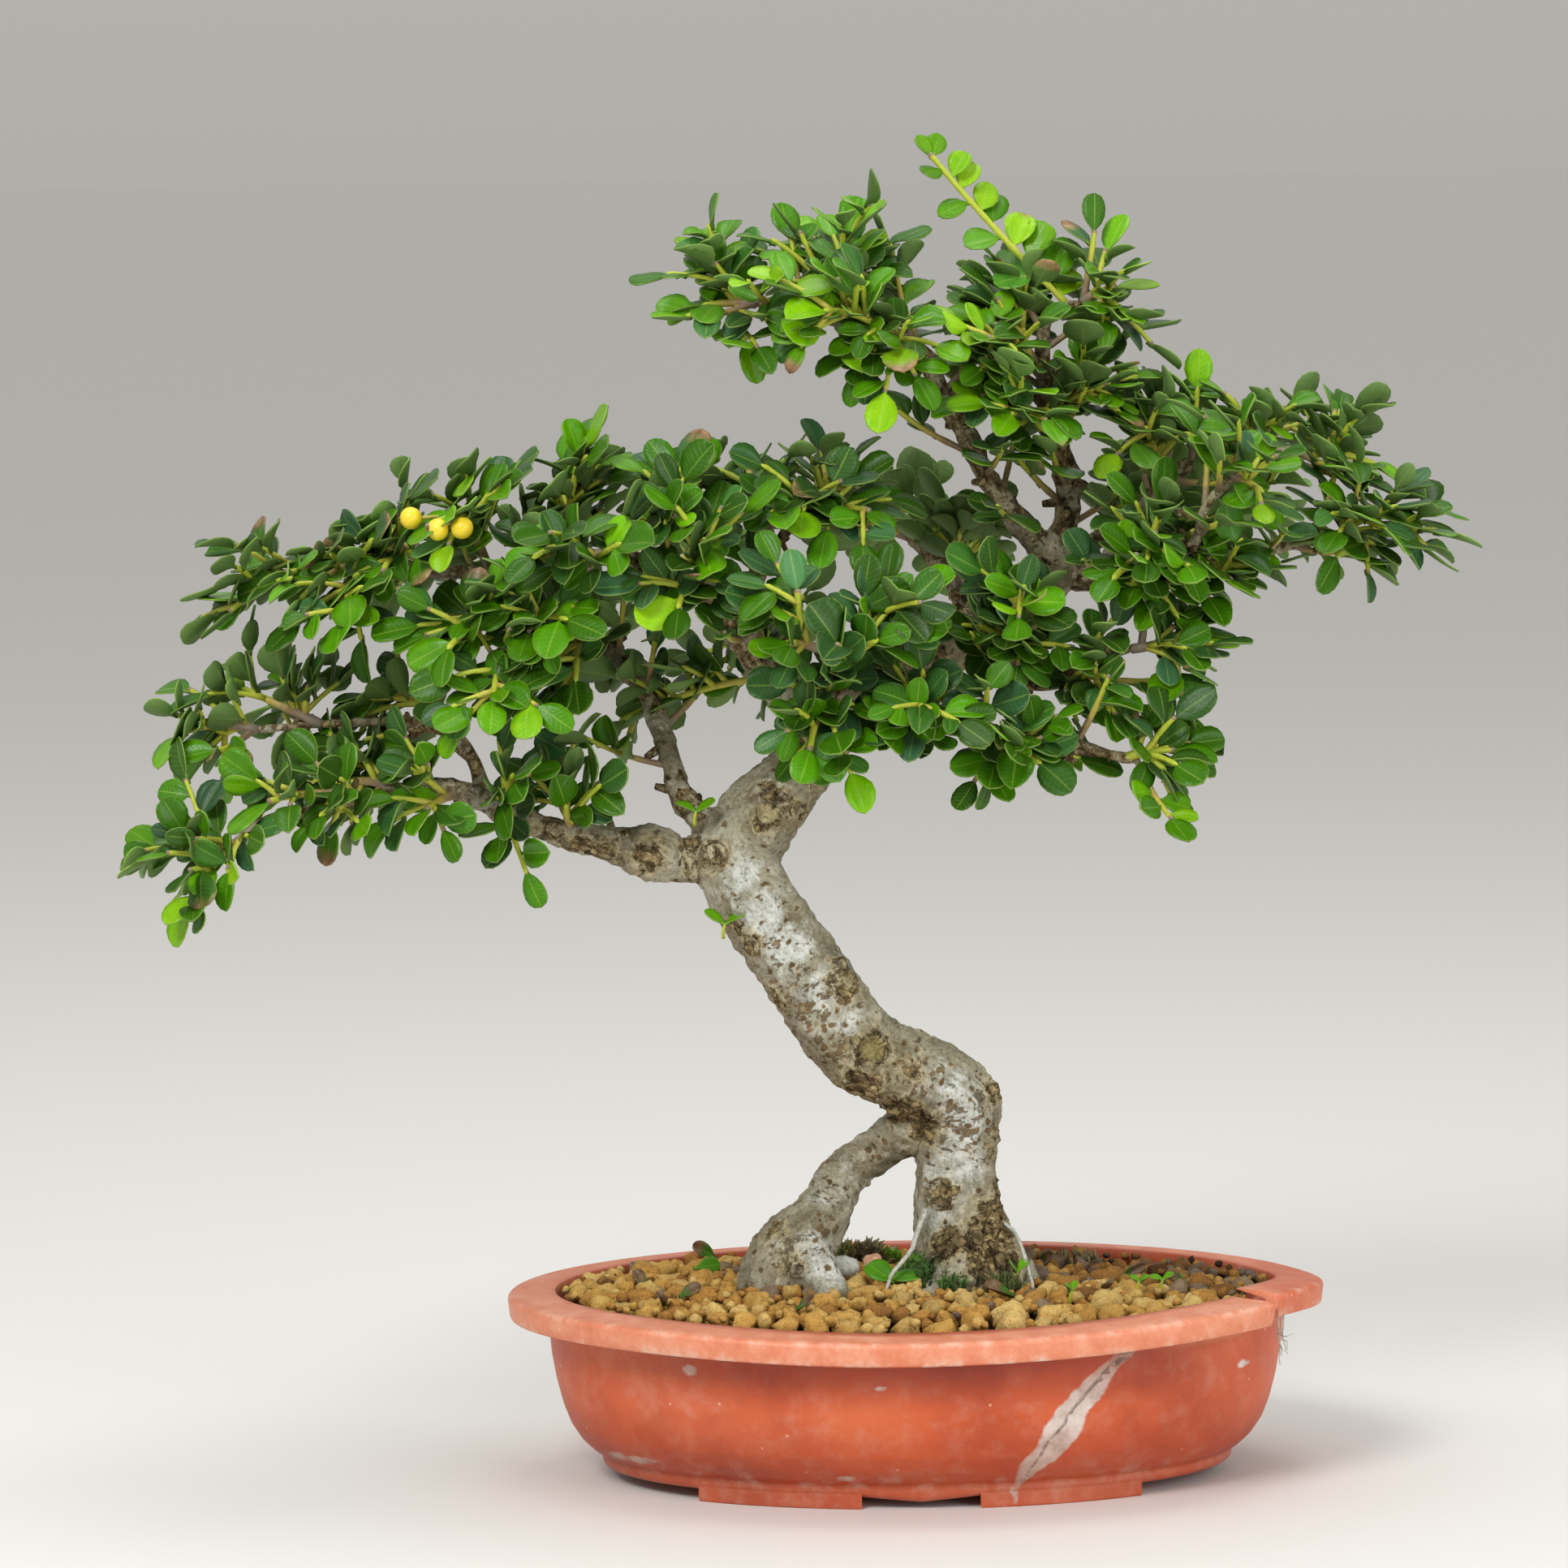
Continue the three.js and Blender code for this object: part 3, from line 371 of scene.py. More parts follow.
def rimShift(angle, height):  # the loose end of the rim stands higher, and its front sags
    share = step(pot["firmHeight"], pot["looseHeight"], height)
    turned = math.atan2(math.sin(angle), math.cos(angle))
    if turned > breakAngle:
        return share * pot["lift"] * (1 - step(breakAngle, pot["liftEnd"], turned))
    rise = pot["rise"] * step(pot["riseStart"], breakAngle, turned)
    sag = pot["sag"] * math.exp(-((turned - pot["sagMiddle"]) / pot["sagWidth"]) ** 2)
    return share * (rise - sag)


def potRing(inset, height, angles):
    ring = []
    for angle in angles:
        x = (pot["halfWidth"] - inset) * math.cos(angle)
        y = (pot["halfDepth"] - inset) * math.sin(angle)
        dip = pot["lipDip"] * max(0, 1 - abs(x) / pot["lipDipHalfWidth"]) * (height < pot["lipTop"])
        ring.append((x, y, height - dip + rimShift(angle, height)))
    return ring


def looseBody(name, points, faces):  # a helper body for a cut or a join
    mesh = bpy.data.meshes.new(name)
    mesh.from_pydata(toFrame(points).tolist(), [], [tuple(face) for face in faces])
    return newObject(name, mesh)


def combine(body, tool, operation):  # joins or cuts with a helper body, which then goes
    boolean = body.modifiers.new("combine", "BOOLEAN")
    boolean.operation = operation
    boolean.solver = "MANIFOLD"
    boolean.object = tool
    bpy.context.view_layer.objects.active = body
    bpy.ops.object.modifier_apply(modifier=boolean.name)
    bpy.data.objects.remove(tool)


def boxBody(middle, halves, turned=0.0):
    corners = [(sx, sy, sz) for sz in (-1, 1) for sx, sy in ((-1, -1), (1, -1), (1, 1), (-1, 1))]
    points = np.array(corners) * halves
    c, s = math.cos(turned), math.sin(turned)
    points = points @ np.array([[c, s, 0], [-s, c, 0], [0, 0, 1]]) + middle
    return points, ringFaces(2, 4)


def footBody(sideX, sideY):  # a foot with rounded edges, following the oval
    halfWidth = pot["halfWidth"] - pot["footInset"]
    halfDepth = pot["halfDepth"] - pot["footInset"]
    xs = np.linspace(pot["footFrom"], pot["footTo"], 15)
    ys = halfDepth * np.sqrt(1 - (xs / halfWidth) ** 2)
    outline = np.vstack([np.stack([xs, ys], 1), np.stack([xs, ys - pot["footDepth"]], 1)[::-1]])
    middle = outline.mean(axis=0)
    rings = []
    for shrink, z in ((1.0, ground), (0.3, ground + 0.15), (0, ground + 0.7), (0, pot["footTop"])):
        inward = (middle - outline) / np.linalg.norm(middle - outline, axis=1)[:, None]
        ring = outline + inward * shrink * 0.6
        rings.append(np.column_stack([ring, np.full(len(ring), z)]))
    points = np.vstack(rings) * [sideX, sideY, 1]
    faces = ringFaces(4, len(outline))
    return points, faces if sideX * sideY > 0 else [face[::-1] for face in faces]


def wallDepth(x, height):  # how far the outer wall stands in front of the pot's middle
    profile = np.array(pot["outside"][4:13])
    inset = np.interp(height, profile[:, 1], profile[:, 0])
    return (pot["halfDepth"] - inset) * math.sqrt(1 - (x / (pot["halfWidth"] - inset)) ** 2)


def splitBody():  # a thin jagged slot through the wall, wider inside
    line = smoothLine(pot["split"], 1.2)
    jag = 0.35 * waves(np.column_stack([line[:, :2], 0 * line[:, 0]]), 3.2, 4)
    rings = []
    for (x, height, gap), shift in zip(line, jag):
        wall = wallDepth(x, height)
        mid = x + shift
        rings.append([(mid - gap, -wall - 4, height), (mid + gap, -wall - 4, height - 0.5 * gap),
                      (mid + 1.3 * gap, -wall + 6, height), (mid - 1.3 * gap, -wall + 6, height)])
    return np.vstack(rings), ringFaces(len(rings), 4)


def makePotMaterial():
    # Terracotta-coloured polypropylene, injection moulded and weathered outdoors: even colour and a
    # dull skin, bleached where sun and hands reach, chalky lime on edges with a painted highlight along
    # the rim's edges, whitened where it is split, and painted shade in the split and on the low and inner
    # walls.
    material, shader, add = newMaterial("mouldedPolypropylene")
    bleached, limeAndHighlight, stressed, _ = pointTraits(add)
    here = add("TexCoord").outputs["Object"]
    cloud = add("TexNoise", {"Vector": here, "Scale": 1 / 0.03, "Detail": 5.0, "Roughness": 0.6})
    stain = add("TexNoise", {"Vector": here, "Scale": 1 / 0.007, "Detail": 6.0, "Roughness": 0.65})
    grain = add("TexNoise", {"Vector": here, "Scale": 1 / 0.0012, "Detail": 3.0, "Roughness": 0.6})
    body = add("ValToRGB", [cloud], stops=[(0.3, "#ae451d"), (0.52, "#c8572a"), (0.72, "#d26636")])
    faded = add("ValToRGB", [stain], stops=[(0.3, "#cd7552"), (0.55, "#dc8c6a"), (0.75, "#e39b7c")])
    skin = add("Mix", {0: bleached, 6: body, 7: faded}, data_type="RGBA")
    # chalky lime in patches, with a painted highlight along the rim's top and lower edges
    patch = add("Math", [stain, 2.6, -1.25], operation="MULTIPLY_ADD", use_clamp=True)
    limeDustAndHighlight = add("Math", [patch, limeAndHighlight], operation="MULTIPLY", use_clamp=True)
    dusty = add("Mix", {0: limeDustAndHighlight, 6: skin, 7: "#d9bfae"}, data_type="RGBA")
    # fine lighter specks, a few tenths of a millimetre across
    specks = add("TexVoronoi", {"Vector": here, "Scale": 1 / 0.006}, feature="F1")
    dot = add("MapRange", [specks, 0.085, 0.05, 0.0, 0.75])
    chance = add("SeparateColor", [specks.outputs["Color"]])
    few = add("Math", [chance, 0.62], operation="GREATER_THAN")
    speck = add("Math", [dot, few], operation="MULTIPLY")
    specked = add("Mix", {0: speck, 6: dusty, 7: "#e9b18f"}, data_type="RGBA")
    # the split's white band, broken up at its edge
    torn = add("Math", [stain, 0.9, stressed], operation="MULTIPLY_ADD")
    white = add("MapRange", [torn, 0.88, 1.08, 0.0, 0.94])
    pale = add("ValToRGB", [stain], stops=[(0.35, "#b8a79c"), (0.5, "#d2c8c0"), (0.65, "#e2dcd6")])
    skinned = add("Mix", {0: white, 6: specked, 7: pale}, data_type="RGBA")
    # painted shade: near black inside the split and on the break's end faces, and darker on the low wall and
    # the inner rim
    marks = add("Attribute", attribute_name="marks").outputs["Vector"]
    gapShade, shade, _ = add("SeparateXYZ", [marks]).outputs
    # painted shade: the low outer wall and the inner rim wall are multiplied darker
    shaded = add("Mix", {0: shade, 6: skinned, 7: "#cda897"}, data_type="RGBA", blend_type="MULTIPLY")
    deep = add("MapRange", [gapShade, 0.01, 0.12, 0.0, 1.0])
    gapShaded = add("Mix", {0: deep, 6: shaded, 7: "#150d0a"}, data_type="RGBA")
    rough = add("MapRange", [stain, 0.3, 0.7, 0.4, 0.56])
    chalky = add("Math", [rough, white], operation="MAXIMUM")
    bump = add("Bump", {"Height": grain, "Strength": 0.25, "Distance": 0.00025})
    feed(shader, {"Base Color": gapShaded, "Roughness": chalky, "Normal": bump})
    return material


def potTraits(points):  # how bleached the wall is at each point, how limy (with a painted highlight along the rim's edges), and how stressed
    x, y, z = points.T
    outward = np.hypot(x / pot["halfWidth"], y / pot["halfDepth"])
    front = (y < 0) & (outward > 0.6)
    rim = step(36.5, 37.6, z) * step(0.80, 0.87, outward)
    lip = step(0.6, -0.6, z) * step(0.6, 0.7, outward)
    kept = 1 - 0.7 * step(90, 99, x) - 0.3 * step(-10, 20, y) * step(95, 85, x)
    bleached = np.clip(0.95 * rim * kept + 0.35 * lip + 0.2 * step(0.3, 1.5, waves(points, 60, 8)), 0, 1)
    angles = np.arctan2(y / pot["halfDepth"], x / pot["halfWidth"])
    straight = z - np.array([rimShift(angle, height) for angle, height in zip(angles, z)])
    # partly a painted highlight: pale lines along the rim's lower and top edges, over chalky lime
    lowEdgeHighlight = np.exp(-((straight - 38.2) / 0.8) ** 2) * step(0.96, 0.975, outward)
    topEdgeHighlight = np.exp(-((straight - 44.2) / 0.6) ** 2) * step(0.97, 0.985, outward)
    crease = np.exp(-((z - 0.6) / 1.5) ** 2) * step(0.6, 0.7, outward)
    limeAndHighlight = np.clip(0.25 + 2.2 * lowEdgeHighlight + 1.0 * topEdgeHighlight + 0.8 * crease + 0.3 * step(9, 2, z), 0, 2)
    band = np.array(pot["white"])
    left, right = np.interp(z, band[:, 0], band[:, 1]), np.interp(z, band[:, 0], band[:, 2])
    inward = np.minimum(x - left, right - x)
    stressed = np.clip(0.5 + 0.25 * inward, 0, 1) * front * (z < 41) * (outward < 0.93)
    for sx, sz, length, height in pot["scuffs"]:
        off = np.hypot((x - sx) / length, (z - sz) / height)
        stressed = np.where(front, np.maximum(stressed, np.clip(0.93 - 0.5 * off, 0, 1)), stressed)
    return rows(bleached, limeAndHighlight, stressed, 1.0)


def potPaintedShade(points):  # painted shade: how dark the split's inside and the break's end faces are, and how shaded the low wall and the inner rim are
    x, y, z = points.T
    line = np.array(pot["split"])[::-1]
    middle, gap = np.interp(z, line[:, 1], line[:, 0]), np.interp(z, line[:, 1], line[:, 2])
    wall = np.array([wallDepth(*place) for place in zip(np.clip(x, 20, 60), np.clip(z, 0, 42))])
    inside = (y < 0) & (z > 0) & (z < 41.5) & (x > 20) & (x < 64)
    near = inside & (np.abs(x - middle) < gap + 1.2)
    # painted shade: the split's inside gets darker the deeper it goes into the wall
    gapShade = np.where(near, np.clip((y + wall - 0.15) / 4, 0, 1), 0)
    # painted shadow on the end faces at the rim's break
    turned = np.abs(np.arctan2(y / pot["halfDepth"], x / pot["halfWidth"]) - breakAngle)
    broken = (z < 40.5) & (z > pot["breakBottom"] - 0.3)
    gapShade = np.maximum(gapShade, 0.06 * (broken & (turned < 1.2 * pot["breakWidth"] / pot["halfDepth"])))
    outward = np.hypot(x / pot["halfWidth"], y / pot["halfDepth"])
    # painted shade: the inner wall under the rim and the low outer wall darker
    inner = step(0.9, 0.86, outward) * step(20, 36, z)
    low = 0.75 * step(24, 3, z) * step(0.5, 0.7, outward)
    return rows(gapShade, np.maximum(low, inner), 0.0)


def undercutBody():  # leaves a thin splinter of the rim standing over the soil at the break
    out = np.array([math.cos(breakAngle), math.sin(breakAngle)])
    rings = []
    for along in (-0.5, pot["undercutLength"]):
        shift = along * np.array([-out[1], out[0]])
        for inset, z in pot["undercut"]:
            x, y = np.array([pot["halfWidth"] - inset, pot["halfDepth"] - inset]) * out + shift
            rings.append([x, y, z])
    return np.array(rings), ringFaces(2, len(pot["undercut"]))


def makePot():
    angles = [2 * math.pi * i / pot["steps"] - math.pi for i in range(pot["steps"])]
    halfBreak = pot["breakWidth"] / 2 / pot["halfDepth"]
    angles = [a for a in angles if abs(a - breakAngle) > 1.5 * halfBreak]
    angles = sorted(angles + [breakAngle - halfBreak, breakAngle + halfBreak])
    profile = roundCorners(pot["outside"] + pot["inside"], pot["corner"], pot["span"])
    points = np.vstack([potRing(inset, height, angles) for inset, height in profile])
    body = looseBody("potBody", points, ringFaces(len(profile), len(angles)))
    for sideX in (-1, 1):
        for sideY in (-1, 1):
            combine(body, looseBody("foot", *footBody(sideX, sideY)), "UNION")
        hole = np.array([[sideX * pot["holeX"], 0, z, pot["holeRadius"]] for z in (-6, 8)])
        combine(body, looseBody("hole", *tubeBody(hole, 40)[:2]), "DIFFERENCE")
    x, y = pot["halfWidth"] * math.cos(breakAngle), pot["halfDepth"] * math.sin(breakAngle)
    halves = [pot["breakDepth"], pot["breakWidth"] / 2, 10]
    slit = boxBody([x, y, pot["breakBottom"] + halves[2]], halves, breakAngle)
    combine(body, looseBody("slit", *slit), "DIFFERENCE")
    combine(body, looseBody("undercut", *undercutBody()), "DIFFERENCE")
    combine(body, looseBody("split", *splitBody()), "DIFFERENCE")
    heap = Heap()
    points = (np.array([v.co for v in body.data.vertices]) - origin) / metre
    faces = [tuple(p.vertices) for p in body.data.polygons]
    heap.add(points, faces, potTraits(points), marks=potPaintedShade(points))
    bpy.data.objects.remove(body)
    piece = heap.piece("potShell", "pot", [makePotMaterial()], ["pot"])
    piece.data.set_sharp_from_angle(angle=math.radians(50))


makePot()
print("stage: pot")


# Soil: a bed painted dark as shade under loose granules

bed = {
    "height": 42.4,
    "mound": {"rise": 4, "x": -10, "y": -6, "halfWidth": 66, "halfDepth": 42},
    "hollow": {"rise": -1.5, "x": 60, "y": 30, "halfWidth": 25, "halfDepth": 25},
    "gap": 0.5, "sunk": 2.6, "rings": 26, "steps": 120, "roughness": 0.8,
    # granules: [how many, smallest and largest width, how high they sit, fineness, how far apart in widths]
    "sizes": [[300, 7.6, 11.8, 0.7, 3, 0.82], [280, 4.6, 7.0, 1.6, 2, 0.74], [330, 2.2, 4.2, 2.5, 2, 0.62]],
    # granules keep off the rim, and sink in by a share of their width
    "rimInset": 14.4, "sinking": 0.12, "uneven": [-0.7, 0.9], "tries": 30, "seed": 11,
}


def bedHeight(x, y):
    height = bed["height"]
    for swell in (bed["mound"], bed["hollow"]):
        away = ((x - swell["x"]) / swell["halfWidth"]) ** 2 + ((y - swell["y"]) / swell["halfDepth"]) ** 2
        height = height + swell["rise"] * np.exp(-away)
    return height


def makeSoilMaterial():
    # Akadama, a fired volcanic clay broken into granules: dull, dusty and porous, ochre to brown,
    # darker where it is damp or old, with painted shade on the bed and on each granule's underside.
    material, shader, add = newMaterial("firedClayGranules")
    tone, grey, damp, _ = pointTraits(add)
    here = add("TexCoord").outputs["Object"]
    mottle = add("TexNoise", {"Vector": here, "Scale": 1 / 0.0025, "Detail": 5.0, "Roughness": 0.65})
    grit = add("TexNoise", {"Vector": here, "Scale": 1 / 0.0007, "Detail": 3.0, "Roughness": 0.7})
    mixed = add("Math", [mottle, 0.55, tone], operation="MULTIPLY_ADD")
    shifted = add("Math", [mixed, -0.27], operation="ADD")
    clay = add("ValToRGB", [shifted], stops=[
        (0.0, "#f2cf80"), (0.25, "#e2b059"), (0.5, "#c99246"), (0.75, "#946635"), (1.0, "#553b26")])
    stone = add("ValToRGB", [mottle], stops=[(0.3, "#6f6154"), (0.7, "#978b7d")])
    mineral = add("Mix", {0: grey, 6: clay, 7: stone}, data_type="RGBA")
    # real damp, and painted shade on the bed and under each granule
    dampAndShaded = add("Mix", {0: damp, 6: mineral, 7: "#6b5646"}, data_type="RGBA", blend_type="MULTIPLY")
    coarse = add("Bump", {"Height": mottle, "Strength": 1.0, "Distance": 0.0019})
    fine = add("Bump", {"Height": grit, "Strength": 0.9, "Distance": 0.001, "Normal": coarse})
    feed(shader, {"Base Color": dampAndShaded, "Roughness": 0.92, "Specular IOR Level": 0.25, "Normal": fine})
    return material


def granuleBody(ball, width, seed):  # a broken lump: a few flat faces, then a porous skin
    dice = np.random.default_rng(seed)
    points = ball * dice.uniform(0.88, 1.12, 3)
    for _ in range(11):
        flat = unit(dice.normal(size=3))
        beyond = np.maximum(0, points @ flat - dice.uniform(0.56, 0.80))
        points = points - beyond[:, None] * flat * 0.95
    swell = 1 + 0.07 * waves(points, 0.9, seed + 1, 8) + 0.07 * waves(points, 0.35, seed + 2, 8)
    points = points * swell[:, None]
    spin = Euler(dice.uniform(0, 6.28, 3)).to_matrix()
    return points @ np.array(spin) * width / 2


def ovalRing(inset, share, angles):
    return rows((pot["halfWidth"] - inset) * share * np.cos(angles),
                (pot["halfDepth"] - inset) * share * np.sin(angles), 0.0)


def makeSoil(material, woodAt):
    heap = Heap()
    wall = roundCorners(pot["inside"][::-1], 0.5, 3)
    angles = 2 * math.pi * np.arange(bed["steps"]) / bed["steps"]
    rings = []
    for inset, height in wall:
        raised = 0.3 if height < 2.3 else 0  # off the pot's floor
        rings.append(ovalRing(inset + bed["gap"], 1, angles) + [0, 0, height + raised])
    for r in range(bed["rings"]):
        ring = ovalRing(wall[-1][0] + bed["gap"], 1 - r / bed["rings"], angles)
        ring[:, 2] = bedHeight(ring[:, 0], ring[:, 1]) - bed["sunk"] + bed["roughness"] * waves(ring, 7, 3)
        rings.append(ring)
    points = np.vstack(rings)
    # painted shade: the bed takes the darkest, dampest tone, as the shade between the granules
    heap.add(points, ringFaces(len(rings), len(angles)), [1.0, 0.15, 0.9, 1])
    heap.piece("shadedSoilBed", "soil", [material], ["soil"])

    dice = np.random.default_rng(bed["seed"])
    balls = {fineness: ballBody(fineness) for fineness in (2, 3)}
    laid = np.zeros((0, 3))
    reachX, reachY = pot["halfWidth"] - bed["rimInset"], pot["halfDepth"] - bed["rimInset"]
    for size, (wanted, smallest, largest, raised, fineness, apart) in enumerate(bed["sizes"]):
        heap = Heap()
        ball, faces = balls[fineness]
        placed = 0
        for _ in range(wanted * bed["tries"]):
            if placed == wanted:
                break
            width = dice.uniform(smallest, largest)
            x, y = dice.uniform(-1, 1, 2) * [reachX, reachY]
            if math.hypot(x / (reachX - width / 2), y / (reachY - width / 2)) > 1:
                continue
            if woodAt(x, y) < 0.1 * width:
                continue
            if len(laid):
                clear = apart * (laid[:, 2] + width) / 2
                if (np.hypot(laid[:, 0] - x, laid[:, 1] - y) < clear).any():
                    continue
            placed += 1
            laid = np.vstack([laid, [x, y, width]])
            body = granuleBody(ball, width, 1000 * size + placed)
            z = bedHeight(x, y) - bed["sinking"] * width + raised + dice.uniform(*bed["uneven"])
            back = step(10, 60, x) * step(-30, 25, y)  # darker and greyer at the back right
            tone = np.clip(dice.normal(0.23 + 0.30 * back, 0.2), 0, 1)
            grey = dice.random() < 0.04 + 0.4 * back
            damp = np.clip(dice.normal(0.05 + 0.4 * back, 0.12), 0, 1)
            # painted shade: each granule darker and damper towards its underside
            low = np.clip(0.62 - body[:, 2] / width, 0, 1)[:, None] ** 2
            traits = np.array([[tone, 0.8 * grey, damp, 1]]) + low * [0.25, 0, 0.5, 0]
            heap.add(body + [x, y, z], faces.tolist(), traits)
        heap.piece(f"soilGranules{size + 1}", "soil", [material])
    return laid


# Wood: each limb is a line of [x, y, z, radius]

limbs = {
    "trunk": [
      [16, 0, 32, 19], [16, 0, 43, 17], [14, 0, 55, 14.3], [12, 0, 66, 12.2], [12, 0, 78, 10.8],
      [13, -1, 88, 10.5], [13, -2, 96, 10.5], [6, -3, 102, 10.5], [-3, -4, 106, 11.2],
      [-13, -4, 111, 11.8], [-20, -5, 119, 11.7], [-30, -5, 134, 11.3], [-37, -4, 144, 11],
      [-44, -3, 155, 11.1], [-47, 0, 165, 11.3], [-41, 4, 176, 10.9], [-35, 7, 182, 9.6],
      [-28, 12, 190, 8.7], [-21, 16, 199, 8], [-10, 19, 209, 7.6], [5, 21, 216, 7.4], [20, 22, 224, 7.2],
      [33, 22, 232, 6.7], [40, 22, 241, 6],
    ],
    "rootLeg": [
      [3, 3, 90, 8], [-4, 5, 86, 7], [-11, 6, 81, 6.2], [-17, 5, 77, 6.4], [-22, 3, 71, 6.8],
      [-26, 0, 64, 7.8], [-31, -4, 59, 9.4], [-35, -5, 54, 10.8], [-38, -7, 47, 10.6],
      [-40, -8, 38, 10],
    ],
    "rootFront": [[12, -8, 52, 8.1], [9, -16, 47, 6.5], [7, -22, 41, 5]],
    "rootRight": [[20, 0, 50, 9], [27, -2, 46, 6.7], [35, -4, 39, 4.5]],
    "rootBack": [[15, 8, 49, 9], [17, 26, 44, 5.8], [18, 40, 37, 4]],
    "rootLegFront": [[-32, -8, 56, 7.6], [-27, -16, 51, 5.4], [-23, -22, 46, 4]],
    "lowLeft": [
      [-46, 0, 165, 7.6], [-63, -1, 164, 5.6], [-71, -3, 166, 7.4], [-79, -4, 168, 4.9],
      [-94, -6, 172, 4], [-105, -8, 176, 3.8], [-116, -10, 182, 3.6], [-127, -12, 186, 2.7],
      [-139, -14, 185, 2.2], [-153, -16, 183, 1.8], [-166, -18, 180, 1.6], [-177, -20, 178, 1.3],
    ],
    "lowLeftUp": [
      [-116, -10, 182, 2.7], [-119, -4, 192, 2], [-125, 2, 199, 1.8], [-136, 8, 202, 1.6],
      [-152, 12, 202, 1.3], [-168, 14, 201, 1.1], [-181, 15, 200, 0.9],
    ],
    "thinUp": [
      [-50, 2, 168, 4.5], [-62, 8, 180, 3.4], [-65, 10, 189, 2.9], [-68, 13, 199, 2.8],
      [-72, 16, 209, 2.7], [-80, 19, 217, 2.5], [-90, 22, 225, 2.2], [-104, 24, 233, 2],
      [-118, 24, 240, 1.8], [-134, 22, 245, 1.6], [-149, 20, 246, 1.3], [-164, 18, 246, 1.1],
    ],
    "middle": [
      [-26, 14, 196, 4.9], [-35, 4, 210, 4.5], [-45, -6, 225, 4.3], [-54, -12, 237, 3.8],
      [-64, -16, 244, 2.9], [-74, -18, 248, 2.2], [-85, -20, 250, 1.8],
    ],
    "middleUp": [
      [-45, -6, 225, 3.4], [-43, 0, 237, 2.7], [-37, 6, 248, 2.2], [-29, 10, 257, 1.8],
      [-19, 12, 261, 1.3],
    ],
    "front": [[-15, 18, 205, 4], [-18, -10, 211, 3.1], [-20, -30, 217, 2.2], [-24, -42, 225, 1.6]],
    "lowRight": [
      [-10, 19, 209, 4.9], [0, 4, 205, 4], [13, -10, 201, 3.1], [28, -20, 198, 2.5],
      [44, -24, 196, 2], [61, -26, 192, 1.6],
    ],
    "midRight": [
      [20, 22, 224, 4.5], [27, 6, 215, 3.1], [38, -6, 212, 2.2], [50, -12, 219, 1.8],
      [63, -14, 222, 1.3],
    ],
    "right": [
      [40, 22, 241, 5.4], [52, 18, 239, 4], [70, 14, 241, 2.9], [89, 10, 244, 2.2],
      [105, 8, 248, 1.8], [121, 6, 251, 1.3],
    ],
    "rightUp": [
      [52, 18, 239, 3.1], [62, 20, 253, 2.5], [73, 22, 266, 2], [86, 22, 272, 1.8],
      [102, 20, 273, 1.3], [117, 18, 272, 1.1],
    ],
    "rightFront": [
      [52, 18, 239, 2.7], [67, -6, 245, 2], [77, -18, 250, 1.6], [80, -24, 260, 1.3],
      [88, -26, 269, 1.1],
    ],
    "apex": [
      [40, 22, 241, 4.9], [44, 20, 253, 4], [45, 18, 264, 3.4], [42, 16, 278, 2.7],
      [39, 14, 291, 2.5], [38, 12, 302, 2], [40, 10, 312, 1.6], [49, 8, 315, 1.3],
    ],
    "apexLeft": [
      [41, 20, 244, 4.5], [31, 16, 255, 3.6], [22, 12, 268, 3.1], [17, 8, 279, 2.9],
      [10, 4, 290, 2.7], [6, 2, 300, 2.5], [-3, 2, 307, 2], [-14, 0, 310, 1.8],
      [-27, 0, 313, 1.6], [-41, 0, 316, 1.1],
    ],
    "back": [[20, 22, 224, 4.5], [17, 50, 231, 3.1], [11, 74, 239, 2.2], [2, 92, 247, 1.6]],
    "backRight": [[40, 24, 241, 3.6], [52, 50, 246, 2.7], [66, 70, 252, 2], [81, 84, 256, 1.3]],
    "backLeft": [[-22, 16, 201, 4], [-31, 44, 214, 2.9], [-44, 66, 226, 2.2], [-60, 80, 237, 1.6]],
}

